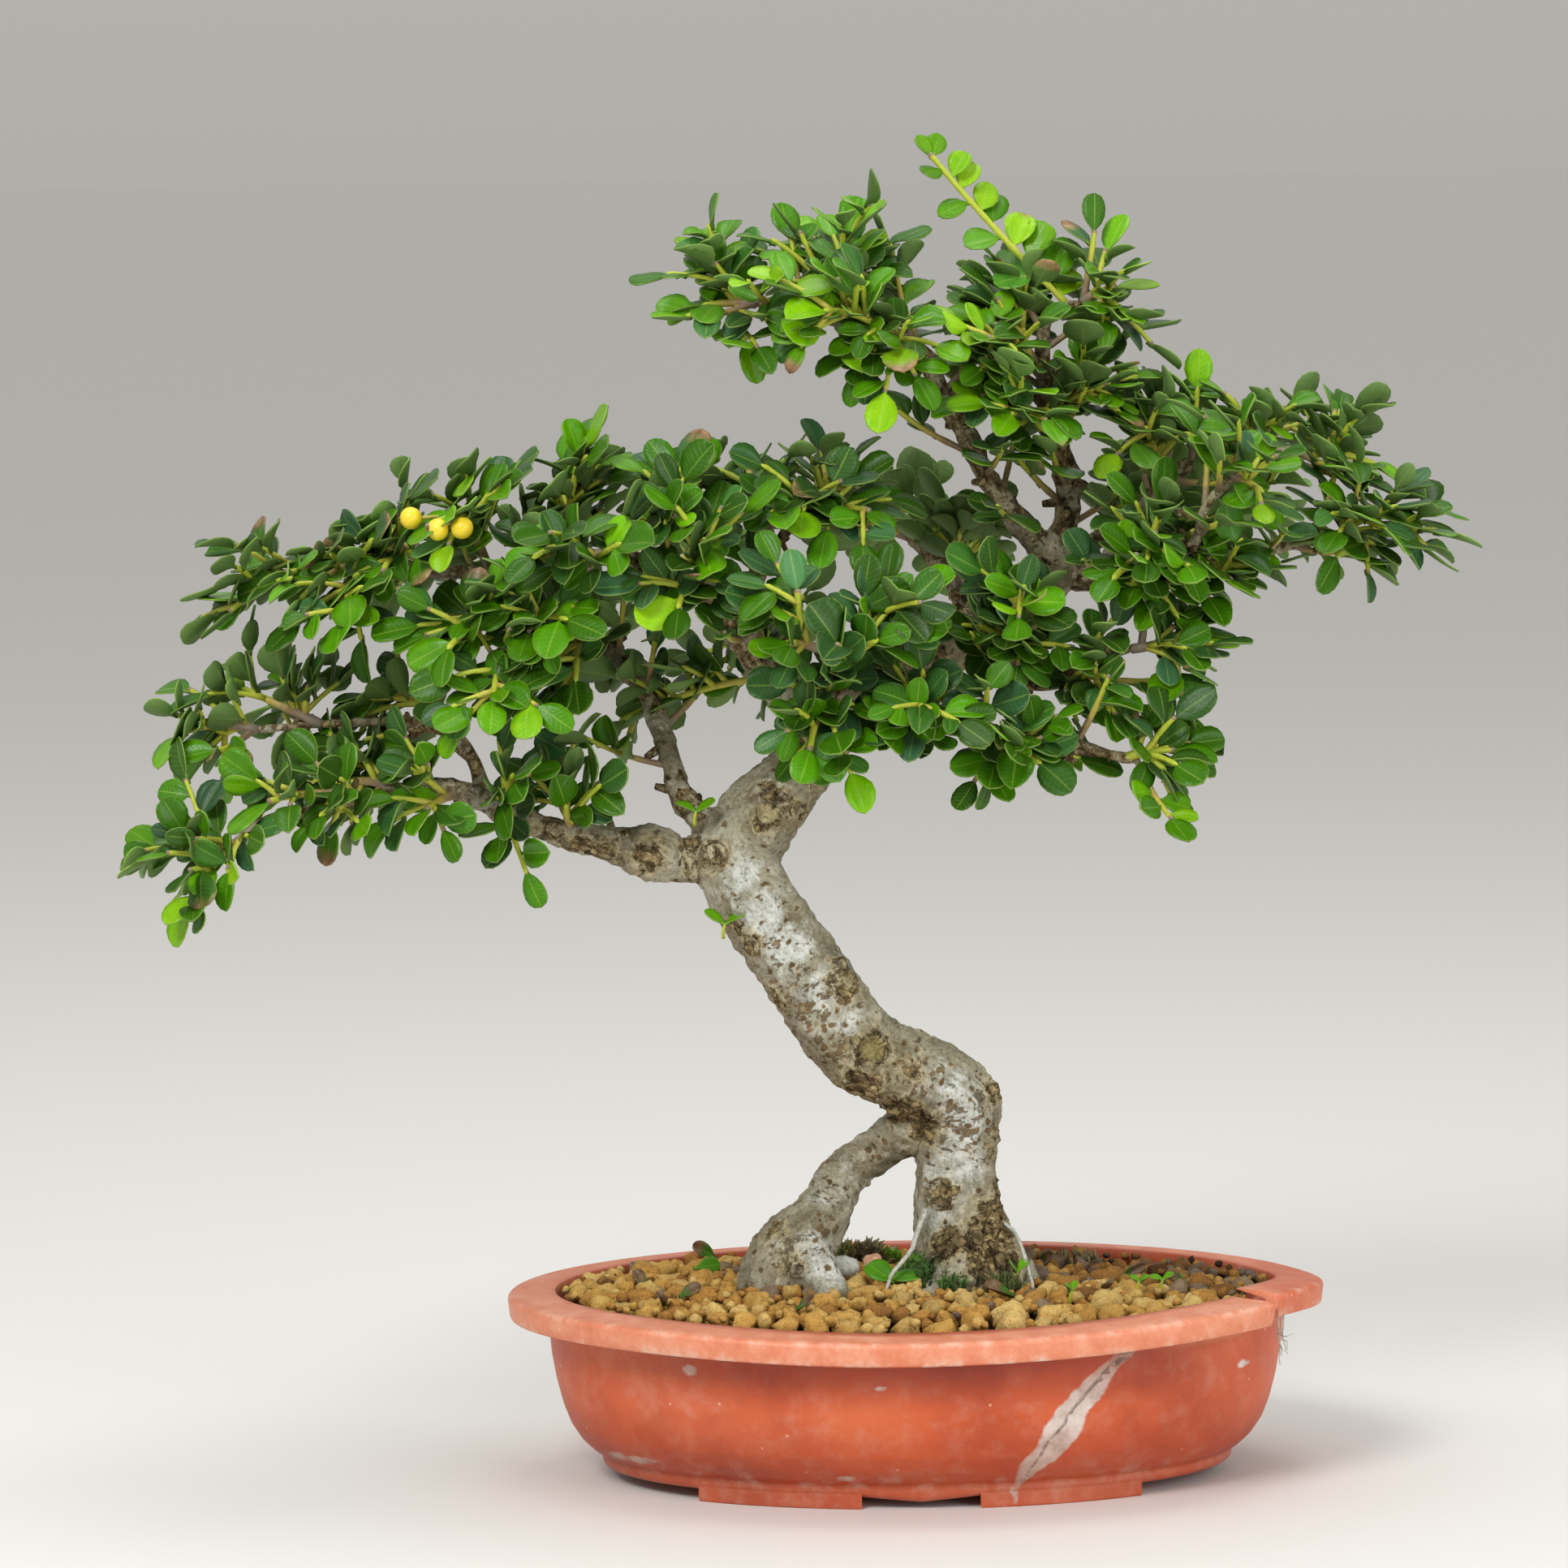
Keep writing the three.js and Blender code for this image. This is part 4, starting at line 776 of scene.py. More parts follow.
wood = {
    "heavy": ["trunk", "rootLeg", "rootFront", "rootRight", "rootBack", "rootLegFront"],
    # how many of a branch's first points are fused into the heavy wood
    "stubs": {"lowLeft": 6, "thinUp": 5, "middle": 3, "front": 2, "lowRight": 2, "midRight": 2, "right": 2,
              "apex": 2, "apexLeft": 2, "back": 2, "backRight": 2, "backLeft": 2},
    "voxel": 0.8, "fillet": 4.5, "band": 3.0, "far": 99.0, "ringWidth": 1.7,
    # shifts along the bark's pattern, so that no two limbs show the same part
    "limbShift": 100, "spurShift": 37, "shiftEnd": 7919, "spurSeed": 7,
    # scars and burrs: [place, way it looks, radius, collar, how far its middle is sunk or raised, ochre]
    "scars": [
        [[-11.5, -16.5, 113.5], [0.05, -1, 0.10], 3.7, 1.5, -0.6, 1.0],
        [[-6.5, -7, 92.5], [-0.1, -1, -0.3], 3.0, 1.3, -0.2, 0.8],
        [[-18.6, -16.2, 131.0], [0.25, -1, 0.3], 3.6, 1.6, 0.5, 0.15],
        [[-43.8, -13.5, 142], [-0.35, -1, 0.0], 2.6, 1.1, 0.2, 0.1],
        [[-39, -8, 177], [0.1, -1, 0.1], 3.4, 1.1, -0.3, 0.4],
        [[-97, -9.4, 173.6], [0, -1, 0.2], 2.0, 0.8, -0.3, 0.2],
        [[7.4, -11, 72.0], [-0.1, -1, 0.0], 3.3, 0.8, 0.4, 0.0],
        [[-18.3, -13, 136.5], [1, -0.5, 0.5], 2.0, 1.2, 0.6, 0.0],
        [[-32.5, -15.5, 52.5], [0.1, -1, 0.2], 1.5, 0.8, -1.2, 0.0],
        [[-53, -7, 167], [0.1, -1, -0.1], 3.0, 0.8, 0.3, 0.0],
    ],
    # painted in listed patches: [place, reach, strength] of each kind of bark
    "rough": [
        [[22, -9, 62], 10, 1.0], [[20, -13, 56], 11, 1.0], [[9, -14, 58], 7, 0.9],
        [[25, -4, 72], 6, 0.8], [[23, -6, 84], 6, 0.55], [[24, -6, 100], 5, 0.95],
        [[-3, -8, 96], 7, 1.1], [[-14, -11, 103], 8, 1.0], [[2, -8, 91], 7, 0.9],
        [[-18.6, -16, 131], 5.5, 0.8], [[-36, -10, 127], 5, 0.8], [[-47, -9, 147], 5, 0.8],
        [[-11.5, -16, 113.5], 6.5, 0.75], [[-1, -14, 108], 6, 0.5], [[7, -11, 72], 4.5, 0.75],
        [[-43.8, -12, 142], 4, 0.7], [[-39, -12, 64], 6, 0.62], [[-34, -15, 54], 5, 0.6],
        [[-38, 0, 180], 9, 0.75], [[-30, -2, 176], 7, 0.6], [[-60, -4, 166], 7, 0.7],
        [[-72, -8, 166], 6, 0.8], [[-52, -8, 165], 5, 0.7], [[10, 16, 60], 14, 0.8],
        [[12, 12, 100], 12, 0.5], [[-28, 8, 124], 10, 0.5], [[-26, 6, 192], 12, 0.7],
        [[0, 20, 212], 20, 0.8], [[28, 22, 232], 20, 0.8], [[-27, 3, 62], 6, 0.5],
    ],
    "dotted": [
        [[14, -12, 92], 10, 1.0], [[20, -8, 88], 8, 1.0], [[-27, -16, 124], 9, 0.9],
        [[-22, -15, 118], 8, 0.8], [[-33, -14, 133], 8, 0.8], [[2, -13, 106], 8, 0.8],
        [[-36, -14, 140], 6, 0.6], [[-44, -12, 158], 6, 0.4], [[-12, -4, 84], 6, 0.8],
        [[-30, -10, 60], 8, 0.7], [[-24, -2, 72], 6, 0.6], [[-35, -14, 58], 6, 0.8],
    ],
    # pale patches: silvery skin, and partly a painted highlight, mostly on the front of the trunk
    "pale": [
        [[5, -12, 77], 6, 1.0], [[11, -12, 83], 6, 0.9], [[11, -13, 101], 5, 0.9],
        [[-24, -17, 130], 6, 1.0], [[-34, -15, 141], 7, 1.0], [[-41, -14, 150], 7, 1.0],
        [[-46, -12, 160], 6, 0.8], [[-24, -18, 53], 7, 1.0], [[-28, -14, 58], 5, 0.7],
        [[5, -13, 66], 6, 1.0], [[13, -13, 88], 6, 0.8], [[-18, -16, 120], 5, 0.6],
        [[-37, -4, 184], 6, 0.7], [[6, -11, 105], 4, 0.6], [[8, -12, 72], 6, 0.9],
        [[14, -12, 92], 8, 0.7], [[16, -12, 80], 7, 0.8], [[-24, -6, 74], 6, 0.5],
        [[12, -12, 98], 8, 0.6],
    ],
    "damp": [[[6, -14, 48], 9, 1.0], [[16, -18, 45], 9, 0.6], [[26, -8, 46], 8, 0.3], [[3, 0, 48], 9, 1.0],
             [[14, 14, 46], 12, 0.8], [[-48, -8, 43], 6, 0.4], [[-28, 3, 50], 6, 0.4]],
}


def fineLimb(name, points=None):
    return smoothLine(points or limbs[name], 2.0)


def limbField(line, grid, low):  # the distance from the limb's skin, in its own block of the grid
    reach = line[:, 3].max() + wood["band"] + wood["fillet"]
    start = np.maximum(0, ((line[:, :3].min(axis=0) - reach - low) / wood["voxel"]).astype(int))
    stop = np.minimum(grid.shape, ((line[:, :3].max(axis=0) + reach - low) / wood["voxel"]).astype(int) + 1)
    block = tuple(slice(a, b) for a, b in zip(start, stop))
    far = np.full(tuple(stop - start), wood["far"], np.float32)
    for a, b in zip(line, line[1:]):
        near = max(a[3], b[3]) + wood["band"] + wood["fillet"]
        first = np.maximum(0, ((np.minimum(a, b)[:3] - near - low) / wood["voxel"]).astype(int) - start)
        last = ((np.maximum(a, b)[:3] + near - low) / wood["voxel"]).astype(int) + 1 - start
        last = np.minimum(stop - start, last)
        if (last <= first).any():
            continue
        axes = [((np.arange(f, l) + s) * wood["voxel"] + o).astype(np.float32)
                for f, l, s, o in zip(first, last, start, low)]
        x, y, z = np.meshgrid(*axes, indexing="ij", sparse=True)
        way = (b - a)[:3]
        x, y, z = x - a[0], y - a[1], z - a[2]
        t = np.clip((x * way[0] + y * way[1] + z * way[2]) / (way @ way), 0, 1)
        away = np.sqrt((x - t * way[0]) ** 2 + (y - t * way[1]) ** 2 + (z - t * way[2]) ** 2)
        inner = tuple(slice(f, l) for f, l in zip(first, last))
        far[inner] = np.minimum(far[inner], away - (a[3] + t * (b[3] - a[3])))
    return block, far


def fuseWood():  # the heavy wood as one skin, with rounded crotches
    lines = [fineLimb(name) for name in wood["heavy"]]
    for name, count in wood["stubs"].items():
        line = fineLimb(name, limbs[name][:count])
        fade = np.ones(len(line))
        fade[-4:] = [0.96, 0.9, 0.8, 0.6]
        line[:, 3] *= fade
        lines.append(line)
    every = np.vstack(lines)
    low = (every[:, :3] - every[:, 3:]).min(axis=0) - 4
    high = (every[:, :3] + every[:, 3:]).max(axis=0) + 4
    grid = np.full(tuple(((high - low) / wood["voxel"]).astype(int) + 1), wood["far"], np.float32)
    for line in lines:
        block, new = limbField(line, grid, low)
        old = grid[block]
        soft = np.minimum(wood["fillet"], 0.75 * line[:, 3].max())
        share = np.clip(0.5 + 0.5 * (old - new) / soft, 0, 1)
        grid[block] = old * (1 - share) + new * share - soft * share * (1 - share)
    volume = openvdb.FloatGrid(wood["band"])
    volume.copyFromArray(np.clip(grid, -wood["band"], wood["band"]))
    points, _, quads = volume.convertToPolygons(isovalue=0.0, adaptivity=0.0)
    points = points * wood["voxel"] + low
    quads = quads.astype(int)
    middles = points[quads].mean(axis=1)
    sizes = np.cross(points[quads[:, 2]] - points[quads[:, 0]], points[quads[:, 3]] - points[quads[:, 1]])
    if (middles * sizes).sum() < 0:  # faces have to look outward
        quads = quads[:, ::-1]
    return points, quads, lines[:len(wood["heavy"]) + 2]


def pointNormals(points, quads):
    faces = np.cross(points[quads[:, 2]] - points[quads[:, 0]], points[quads[:, 3]] - points[quads[:, 1]])
    total = np.zeros_like(points)
    for corner in range(4):
        np.add.at(total, quads[:, corner], faces)
    return total / np.maximum(np.linalg.norm(total, axis=1), 1e-9)[:, None]


def unroll(points, lines):  # where each point is on its straightened limb: around, around, along
    best = np.full(len(points), 1e9)
    places = np.zeros((len(points), 3))
    run = 0.0
    for line in lines:
        middles = line[:, :3]
        ways, sides, ups = framesAlong(middles)
        lengths = run + np.concatenate([[0], np.cumsum(np.linalg.norm(np.diff(middles, axis=0), axis=1))])
        for i, (middle, way, side, up) in enumerate(zip(middles, ways, sides, ups)):
            off = points - middle
            away = np.linalg.norm(off, axis=1) - line[i, 3]
            closer = away < best
            best[closer] = away[closer]
            near = off[closer]
            places[closer] = np.stack([near @ side, near @ up, lengths[i] + near @ way], axis=1)
        run = lengths[-1] + 40
    return places


def painted(points, blobs):  # the strongest of some soft round patches
    strength = np.zeros(len(points))
    for place, reach, most in blobs:
        away = np.linalg.norm(points - place, axis=1) / reach
        strength = np.maximum(strength, most * np.exp(-away ** 2 * 1.2))
    return strength


def makeBarkMaterial():
    # Cotoneaster bark, grown: a thin silvery skin with brown lenticels in rows round the trunk, flaking to
    # a rough brown cork on old swellings, dark and mossy where it stays damp; its pale patches are partly a
    # painted highlight on the front of the trunk.
    material, shader, add = newMaterial("cotoneasterBark")
    rough, damp, pale, scar = pointTraits(add)
    marks = add("Attribute", attribute_name="marks").outputs["Vector"]
    dotty, groove, _ = add("SeparateXYZ", [marks]).outputs
    here = add("Attribute", attribute_name="places").outputs["Vector"]
    broad = add("TexNoise", {"Vector": here, "Scale": 1 / 14, "Detail": 5.0, "Roughness": 0.6})
    patchy = add("TexNoise", {"Vector": here, "Scale": 1 / 4.5, "Detail": 7.0, "Roughness": 0.68})
    fine = add("TexNoise", {"Vector": here, "Scale": 1 / 1.1, "Detail": 4.0, "Roughness": 0.7})
    # the smooth skin: grey-beige, silvery where it is palest; the pale patches are partly silvery skin and
    # partly a painted highlight
    skin = add("ValToRGB", [broad], stops=[
        (0.3, "#675f49"), (0.42, "#857e66"), (0.54, "#9c967f"), (0.7, "#b3b09d")])
    silverAndHighlight = add("ValToRGB", [patchy], stops=[(0.34, "#aaac9e"), (0.5, "#c6c9c1"), (0.66, "#dcdfda")])
    # partly a painted highlight: the listed pale patches lighten the skin towards silver-white
    lit = add("Math", [patchy, 1.9, pale], operation="MULTIPLY_ADD")
    silvery = add("MapRange", [lit, 1.0, 1.6, 0.0, 0.95])
    smooth = add("Mix", {0: silvery, 6: skin, 7: silverAndHighlight}, data_type="RGBA")
    grime = add("ValToRGB", [fine], stops=[(0.3, "#a39a80"), (0.55, "#ffffff")])
    grimy = add("Mix", {0: 0.8, 6: smooth, 7: grime}, data_type="RGBA", blend_type="MULTIPLY")
    # lenticels: brown dashes 1 to 2 mm long, wider than high, crowded in places
    squeezed = add("Mapping", {"Vector": here, "Scale": (1 / 2.9, 1 / 2.9, 1 / 1.9)})
    cells = add("TexVoronoi", {"Vector": squeezed, "Scale": 1.0}, feature="F1")
    wander = add("Math", [fine, 0.55, cells], operation="MULTIPLY_ADD")
    dash = add("MapRange", [wander, 0.69, 0.56, 0.0, 1.0])
    chance = add("SeparateColor", [cells.outputs["Color"]])
    often = add("Math", [dotty, 0.7, chance], operation="MULTIPLY_ADD")
    some = add("Math", [often, 0.86], operation="GREATER_THAN")
    dashes = add("Math", [dash, some], operation="MULTIPLY")
    # irregular flecks, 2 to 4 mm
    fleck = add("TexNoise", {"Vector": squeezed, "Scale": 0.9, "Detail": 5.0, "Roughness": 0.6})
    flecked = add("Math", [dotty, 0.15, fleck], operation="MULTIPLY_ADD")
    flecks = add("MapRange", [flecked, 0.64, 0.69, 0.0, 0.9])
    dotted = add("Math", [dashes, flecks], operation="MAXIMUM")
    brown = add("ValToRGB", [patchy], stops=[(0.35, "#4e3d26"), (0.65, "#806a48")])
    marked = add("Mix", {0: dotted, 6: grimy, 7: brown}, data_type="RGBA")
    # rough cork: ochre plates between dark cracks, longer along the limb
    long = add("Mapping", {"Vector": here, "Scale": (1 / 1.9, 1 / 1.9, 1 / 3.0)})
    flakes = add("TexNoise", {"Vector": long, "Scale": 1.0, "Detail": 7.0, "Roughness": 0.72})
    cork = add("ValToRGB", [flakes], stops=[
        (0.36, "#3a2e1d"), (0.45, "#6a583b"), (0.54, "#94825a"), (0.63, "#b3a176"), (0.72, "#c9bd98")])
    push = add("VectorMath", [patchy.outputs["Color"], (9.0, 9.0, 9.0), here], operation="MULTIPLY_ADD")
    edges = add("TexVoronoi", {"Vector": push, "Scale": 1 / 4.4}, feature="DISTANCE_TO_EDGE")
    plates = add("TexVoronoi", {"Vector": push, "Scale": 1 / 4.4}, feature="F1")
    plate = add("SeparateColor", [plates.outputs["Color"]])
    toned = add("MapRange", [plate, 0.0, 1.0, 0.85, 1.75])
    tinted = add("VectorMath", {0: cork, 3: toned}, operation="SCALE")
    ragged = add("Math", [fine, -0.16, edges], operation="MULTIPLY_ADD")
    crack = add("MapRange", [ragged, -0.08, 0.0, 0.8, 0.0])
    cracked = add("Mix", {0: crack, 6: tinted, 7: "#3d3020"}, data_type="RGBA")
    edged = add("Math", [patchy, 1.9, rough], operation="MULTIPLY_ADD")
    flaky = add("MapRange", [edged, 1.12, 1.38, 0.0, 0.75])
    curled = add("ValToRGB", [flakes], stops=[(0.38, "#786a49"), (0.5, "#a99a73"), (0.62, "#cbbf9b")])
    flaked = add("Mix", {0: flaky, 6: marked, 7: curled}, data_type="RGBA")
    corky = add("MapRange", [edged, 1.4, 1.52, 0.0, 1.0])
    torn = add("Mix", {0: corky, 6: flaked, 7: cracked}, data_type="RGBA")
    # dark grooves round the scars
    deep = add("Math", [fine, 0.9, groove], operation="MULTIPLY_ADD")
    dark = add("MapRange", [deep, 1.02, 1.3, 0.0, 0.9])
    barked = add("Mix", {0: dark, 6: torn, 7: "#4b3b23"}, data_type="RGBA")
    # cut faces of old prunings, ochre wood
    heart = add("ValToRGB", [patchy], stops=[(0.35, "#968b52"), (0.65, "#c2b07c")])
    cut = add("Mix", {0: scar, 6: barked, 7: heart}, data_type="RGBA")
    # damp foot: black-brown with moss green
    moss = add("ValToRGB", [flakes], stops=[
        (0.36, "#17160d"), (0.48, "#2c2f17"), (0.6, "#454f20"), (0.72, "#8b8a6c")])
    soaked = add("Math", [patchy, 1.2, damp], operation="MULTIPLY_ADD")
    soak = add("MapRange", [soaked, 0.92, 1.25, 0.0, 0.95])
    coloured = add("Mix", {0: soak, 6: cut, 7: moss}, data_type="RGBA")
    dull = add("MapRange", [soak, 0.0, 1.0, 0.8, 0.5])
    plateHeight = add("Math", [flakes, crack], operation="SUBTRACT")
    corkHeight = add("Math", [plateHeight, corky], operation="MULTIPLY")
    dotHeight = add("Math", [dotted, 0.25, corkHeight], operation="MULTIPLY_ADD")
    big = add("Bump", {"Height": dotHeight, "Strength": 1.0, "Distance": 0.0018})
    small = add("Bump", {"Height": fine, "Strength": 0.7, "Distance": 0.0009, "Normal": big})
    feed(shader, {"Base Color": coloured, "Roughness": dull, "Specular IOR Level": 0.2, "Normal": small})
    return material


def barkShift(heap, kind):
    return [0, 0, wood[kind] * heap.count % wood["shiftEnd"]]


def makeWood(material):
    points, quads, lines = fuseWood()
    normals = pointNormals(points, quads)
    places = unroll(points, lines)
    rough, damp, pale, dots = (painted(points, wood[kind]) for kind in ("rough", "damp", "pale", "dotted"))
    # relief in millimetres: height * waves(places, a lump's width, seed, how many waves)
    flutes = 0.5 * waves(places * [1, 1, 0.3], 13, 21)
    lumps = 0.32 * waves(places, 6, 22) + 0.2 * waves(places, 2.6, 25) + 0.1 * waves(places, 1.7, 27, 24)
    ridges = 0.9 * np.abs(waves(places * [1, 1, 0.5], 4.0, 23)) + 0.55 * waves(places, 1.9, 24, 24)
    rise = flutes + lumps + np.minimum(rough + 0.7 * damp, 1) * (1.3 * ridges - 0.4)
    ochre, groove = np.zeros(len(points)), np.zeros(len(points))
    for place, way, radius, collar, middle, tint in wood["scars"]:
        way = unit(np.array(way, float))
        off = points - place
        out = np.linalg.norm(off - (off @ way)[:, None] * way, axis=1) * (1 + 0.12 * waves(points, 5, 26))
        near = (np.abs(off @ way) < 7) & (normals @ way > 0.1)
        ring = collar * np.exp(-((out - radius) / (0.30 * radius)) ** 2)
        inside = step(radius * 0.95, radius * 0.7, out)
        rise = rise * np.where(near, 1 - inside, 1) + near * (ring + middle * inside)
        ochre = np.maximum(ochre, near * inside * tint)
        rings = np.cos(2 * np.pi * out / wood["ringWidth"]) * step(1.9 * radius, 1.2 * radius, out)
        rings = rings * (1 - inside * (tint > 0.5))
        rise = rise + near * 0.28 * rings
        cut = np.exp(-((out - 0.92 * radius) / 0.42) ** 2)
        groove = np.maximum(groove, near * np.maximum(cut, np.clip(-0.75 * rings, 0, 1)))
        rough = np.maximum(rough, near * 0.5 * np.exp(-((out - 1.1 * radius) / (0.5 * radius)) ** 2))
    points = points + normals * rise[:, None]
    heap = Heap()
    heap.add(points, quads.tolist(), rows(rough, damp, pale, ochre), places, 0, rows(dots, groove, 0.0))
    dice = np.random.default_rng(wood["spurSeed"])
    for name in limbs:
        if name in wood["heavy"]:
            continue
        line = fineLimb(name)
        line[:, 3] *= 1 + 0.12 * waves(line[:, :3], 9, 40) + 0.07 * waves(line[:, :3], 4, 41)
        line[-2:, 3] *= [0.8, 0.4]
        body, faces, unrolled = tubeBody(line, 12)
        roughness = np.clip(0.45 + 0.3 * waves(body, 14, 42), 0, 1)
        traits = rows(roughness, 0.0, 0.1, 0.0)
        heap.add(body, faces, traits, unrolled + barkShift(heap, "limbShift"), 0, [0.5, 0, 0])
        for spot in dice.integers(4, len(line) - 2, round(len(line) / 3)):  # short dead spurs
            start = line[spot, :3]
            way = unit(dice.normal(size=3) + [0, 0, 0.4])
            long = dice.uniform(3, 8)
            thick = min(1.3, 0.55 * line[spot, 3])
            spur = barLine((start, thick * 1.2), (start + way * (long * 0.6), thick),
                           (start + way * long, thick * 0.75))
            heap.addBar(smoothLine(spur, 1.5), 7, [0.7, 0, 0, 0], 0, barkShift(heap, "spurShift"))
    heap.piece("bark", "bark", [material], ["trunk"])
    return points


# Foliage: each spray grows by the rule of the CAD's sprays, and gets more shoots and leaves

sprays = {
    "lowLeftEnd": ["lowLeft", 10.9, [-202, -24, 150], [-189, -32, 158], [-217, -12, 167]],
    "lowLeftMiddle": ["lowLeft", 8.6, [-182, -34, 185], [-160, -25, 170]],
    "lowLeftBack": ["lowLeft", 7.8, [-168, 16, 184], [-150, 34, 190]],
    "lowLeftFront": ["lowLeft", 6.6, [-136, -34, 180], [-142, -30, 198]],
    "lowLeftHanging": ["lowLeft", 5.4, [-114, -27, 170], [-106, -32, 198]],
    "lowLeftInner": ["lowLeft", 3.9, [-95, -21, 188], [-100, 20, 190]],
    "lowUpEnd": ["lowLeftUp", 5.9, [-208, 0, 201], [-199, 14, 192]],
    "lowUpTop": ["lowLeftUp", 4.6, [-192, 22, 215], [-164, 12, 219], [-178, 38, 204]],
    "lowUpInner": ["lowLeftUp", 2.4, [-128, 4, 217], [-149, 30, 211]],
    "upperLeftEnd": ["thinUp", 10.8, [-195, 11, 229], [-180, 20, 248]],
    "upperLeftFront": ["thinUp", 9.7, [-172, -10, 235], [-156, -24, 228]],
    "upperLeftTop": ["thinUp", 8.9, [-150, 2, 259], [-145, -20, 245]],
    "upperLeftBack": ["thinUp", 8.4, [-162, 42, 237], [-131, 52, 242]],
    "berryTwig": ["thinUp", 7.6, [-122, -20, 267], [-123, 14, 275]],
    "upperLeftLow": ["thinUp", 6.5, [-129, -36, 225], [-114, -43, 208]],
    "upperLeftCrown": ["thinUp", 6.2, [-94, 14, 275], [-87, 2, 286], [-114, 34, 263]],
    "upperLeftInner": ["thinUp", 5.3, [-105, -36, 236], [-92, -22, 212]],
    "upperLeftRear": ["thinUp", 4.7, [-100, 54, 220], [-108, 56, 252]],
    "middleTop": ["middle", 4.2, [-60, -4, 281], [-70, -30, 268]],
    "middleEnd": ["middle", 5.8, [-88, -43, 244], [-101, -26, 258]],
    "middleFront": ["middle", 3.1, [-55, -42, 260], [-65, -47, 234]],
    "middleLow": ["middle", 1.2, [-52, 26, 210], [-88, 28, 198]],
    "centreTop": ["middleUp", 2.1, [-46, 16, 279], [-49, 62, 255], [-76, 50, 264]],
    "centreRight": ["middleUp", 3.6, [-20, 4, 277], [-6, 24, 268], [-26, 58, 252]],
    "centreFront": ["middleUp", 3.2, [-5, -22, 261], [-30, -28, 262]],
    "frontEnd": ["front", 2.9, [-43, -52, 229], [-32, -50, 250]],
    "frontLow": ["front", 1.3, [-30, -54, 194], [-32, -44, 209], [-14, -42, 183]],
    "frontRight": ["front", 2, [-4, -50, 232], [6, -40, 246]],
    "backLeftEnd": ["backLeft", 2.95, [-78, 84, 240], [-54, 88, 256]],
    "backLeftLow": ["backLeft", 1.7, [-55, 74, 205], [-20, 70, 222]],
    "lowRightInner": ["lowRight", 1.8, [-7, -46, 202], [1, -55, 211]],
    "lowRightUnder": ["lowRight", 2.9, [20, -42, 191], [41, -40, 190]],
    "lowRightEnd": ["lowRight", 4.8, [80, -31, 197], [73, -36, 188]],
    "midRightFront": ["midRight", 1.2, [31, -38, 246], [33, -30, 225], [14, 8, 211]],
    "midRightLow": ["midRight", 2.2, [52, -14, 205], [57, -34, 217]],
    "midRightEnd": ["midRight", 3.8, [90, -17, 224], [84, -22, 213]],
    "rightEnd": ["right", 4.8, [155, 2, 252], [123, -14, 262], [110, -4, 240]],
    "rightMiddle": ["right", 2.4, [90, -26, 240], [62, -24, 232]],
    "rightUpEnd": ["rightUp", 4.7, [139, 18, 268], [122, 42, 276]],
    "rightUpTop": ["rightUp", 3.4, [118, 22, 285], [96, 12, 287]],
    "rightUpInner": ["rightUp", 1.8, [80, 26, 293], [63, -6, 286]],
    "rightFrontEnd": ["rightFront", 3.95, [100, -35, 262], [84, -22, 281]],
    "rightFrontInner": ["rightFront", 1.2, [49, -34, 240], [66, -38, 258]],
    "backRightEnd": ["backRight", 2.7, [108, 84, 258], [84, 96, 268], [111, 56, 258]],
    "backRightInner": ["backRight", 1.3, [60, 62, 272], [84, 56, 262], [98, 40, 243]],
    "backInner": ["back", 1.2, [15, 42, 262], [25, 68, 254]],
    "backEnd": ["back", 2.95, [-18, 98, 250], [22, 102, 247], [2, 90, 268]],
    "leader": ["apex", 6.6, [1, 2, 363]],
    "apexRight": ["apex", 6.98, [65, 6, 323], [63, -2, 312]],
    "apexMiddle": ["apex", 4.3, [18, -22, 310], [29, 26, 332], [29, 44, 318]],
    "apexLow": ["apex", 3.1, [25, -26, 288], [62, -4, 298], [51, 22, 288]],
    "topLeftEnd": ["apexLeft", 8.95, [-64, -4, 316], [-59, 8, 335], [-42, -6, 298]],
    "topLeftUpright": ["apexLeft", 7.2, [-15, 8, 344], [-38, 26, 332], [-6, 40, 320]],
    "topLeftFront": ["apexLeft", 5.8, [-3, -31, 304], [-24, -16, 301], [-29, -26, 318]],
}

twig = {"baseRadius": 1.5, "forkRadius": 1.0, "tipRadius": 0.8, "forkRoom": 2, "lift": 0.1, "leafReach": 11,
        "sides": 6, "swell": 0.16, "pruned": 0.45,
        # how woody a twig is at its base, from 0 for green to 1: the first, the others, those of fresh
        # sprays and those inside the crown, and at its end
        "first": 0.8, "other": 0.3, "fresh": 0.1, "inside": 0.7, "greenEnd": 0.05}
shoot = {"spacing": 8.5, "shortest": 9, "longest": 19, "baseRadius": 0.85, "tipRadius": 0.65, "woody": 0.15}
leaf = {
    "spacing": 5.6, "shortest": 10.5, "longest": 15.5, "thickness": 0.4,
    "stalk": 0.14,  # share of the length
    "rows": [0, 0.13, 0.19, 0.31, 0.5, 0.69, 0.85, 0.95, 1.0],
    "columns": [-1, -0.5, 0, 0.5, 1],
    "underColumns": [-1, 0, 1],
    # in the scene a leaf is a little older than the rule says, and more so inside the crown
    "older": 0.10, "ageSpread": 0.17, "olderInside": 0.18,
    "withering": 0.03, "withered": [0.3, 0.75], "tones": [0.72, 1.28],
}
# more shoots than the rule gives, to close the crown: one in so many millimetres of twig, and closer
# together on the right and at the top
filling = {"spacing": 7.4, "closer": 4.4, "closerRight": 10, "closerAbove": 285, "shortest": 6,
           "longest": 15, "leafSpacing": 4.6, "from": 0.12, "woody": 0.3, "seed": 300}

# short twigs that grow from the limbs inside the crown: one in so many millimetres
innerSeed = 500
inner = {"apex": 6.5, "apexLeft": 7.5, "right": 8, "rightUp": 7, "rightFront": 8, "midRight": 9,
         "middle": 12, "lowRight": 12, "lowLeftUp": 12, "thinUp": 14}
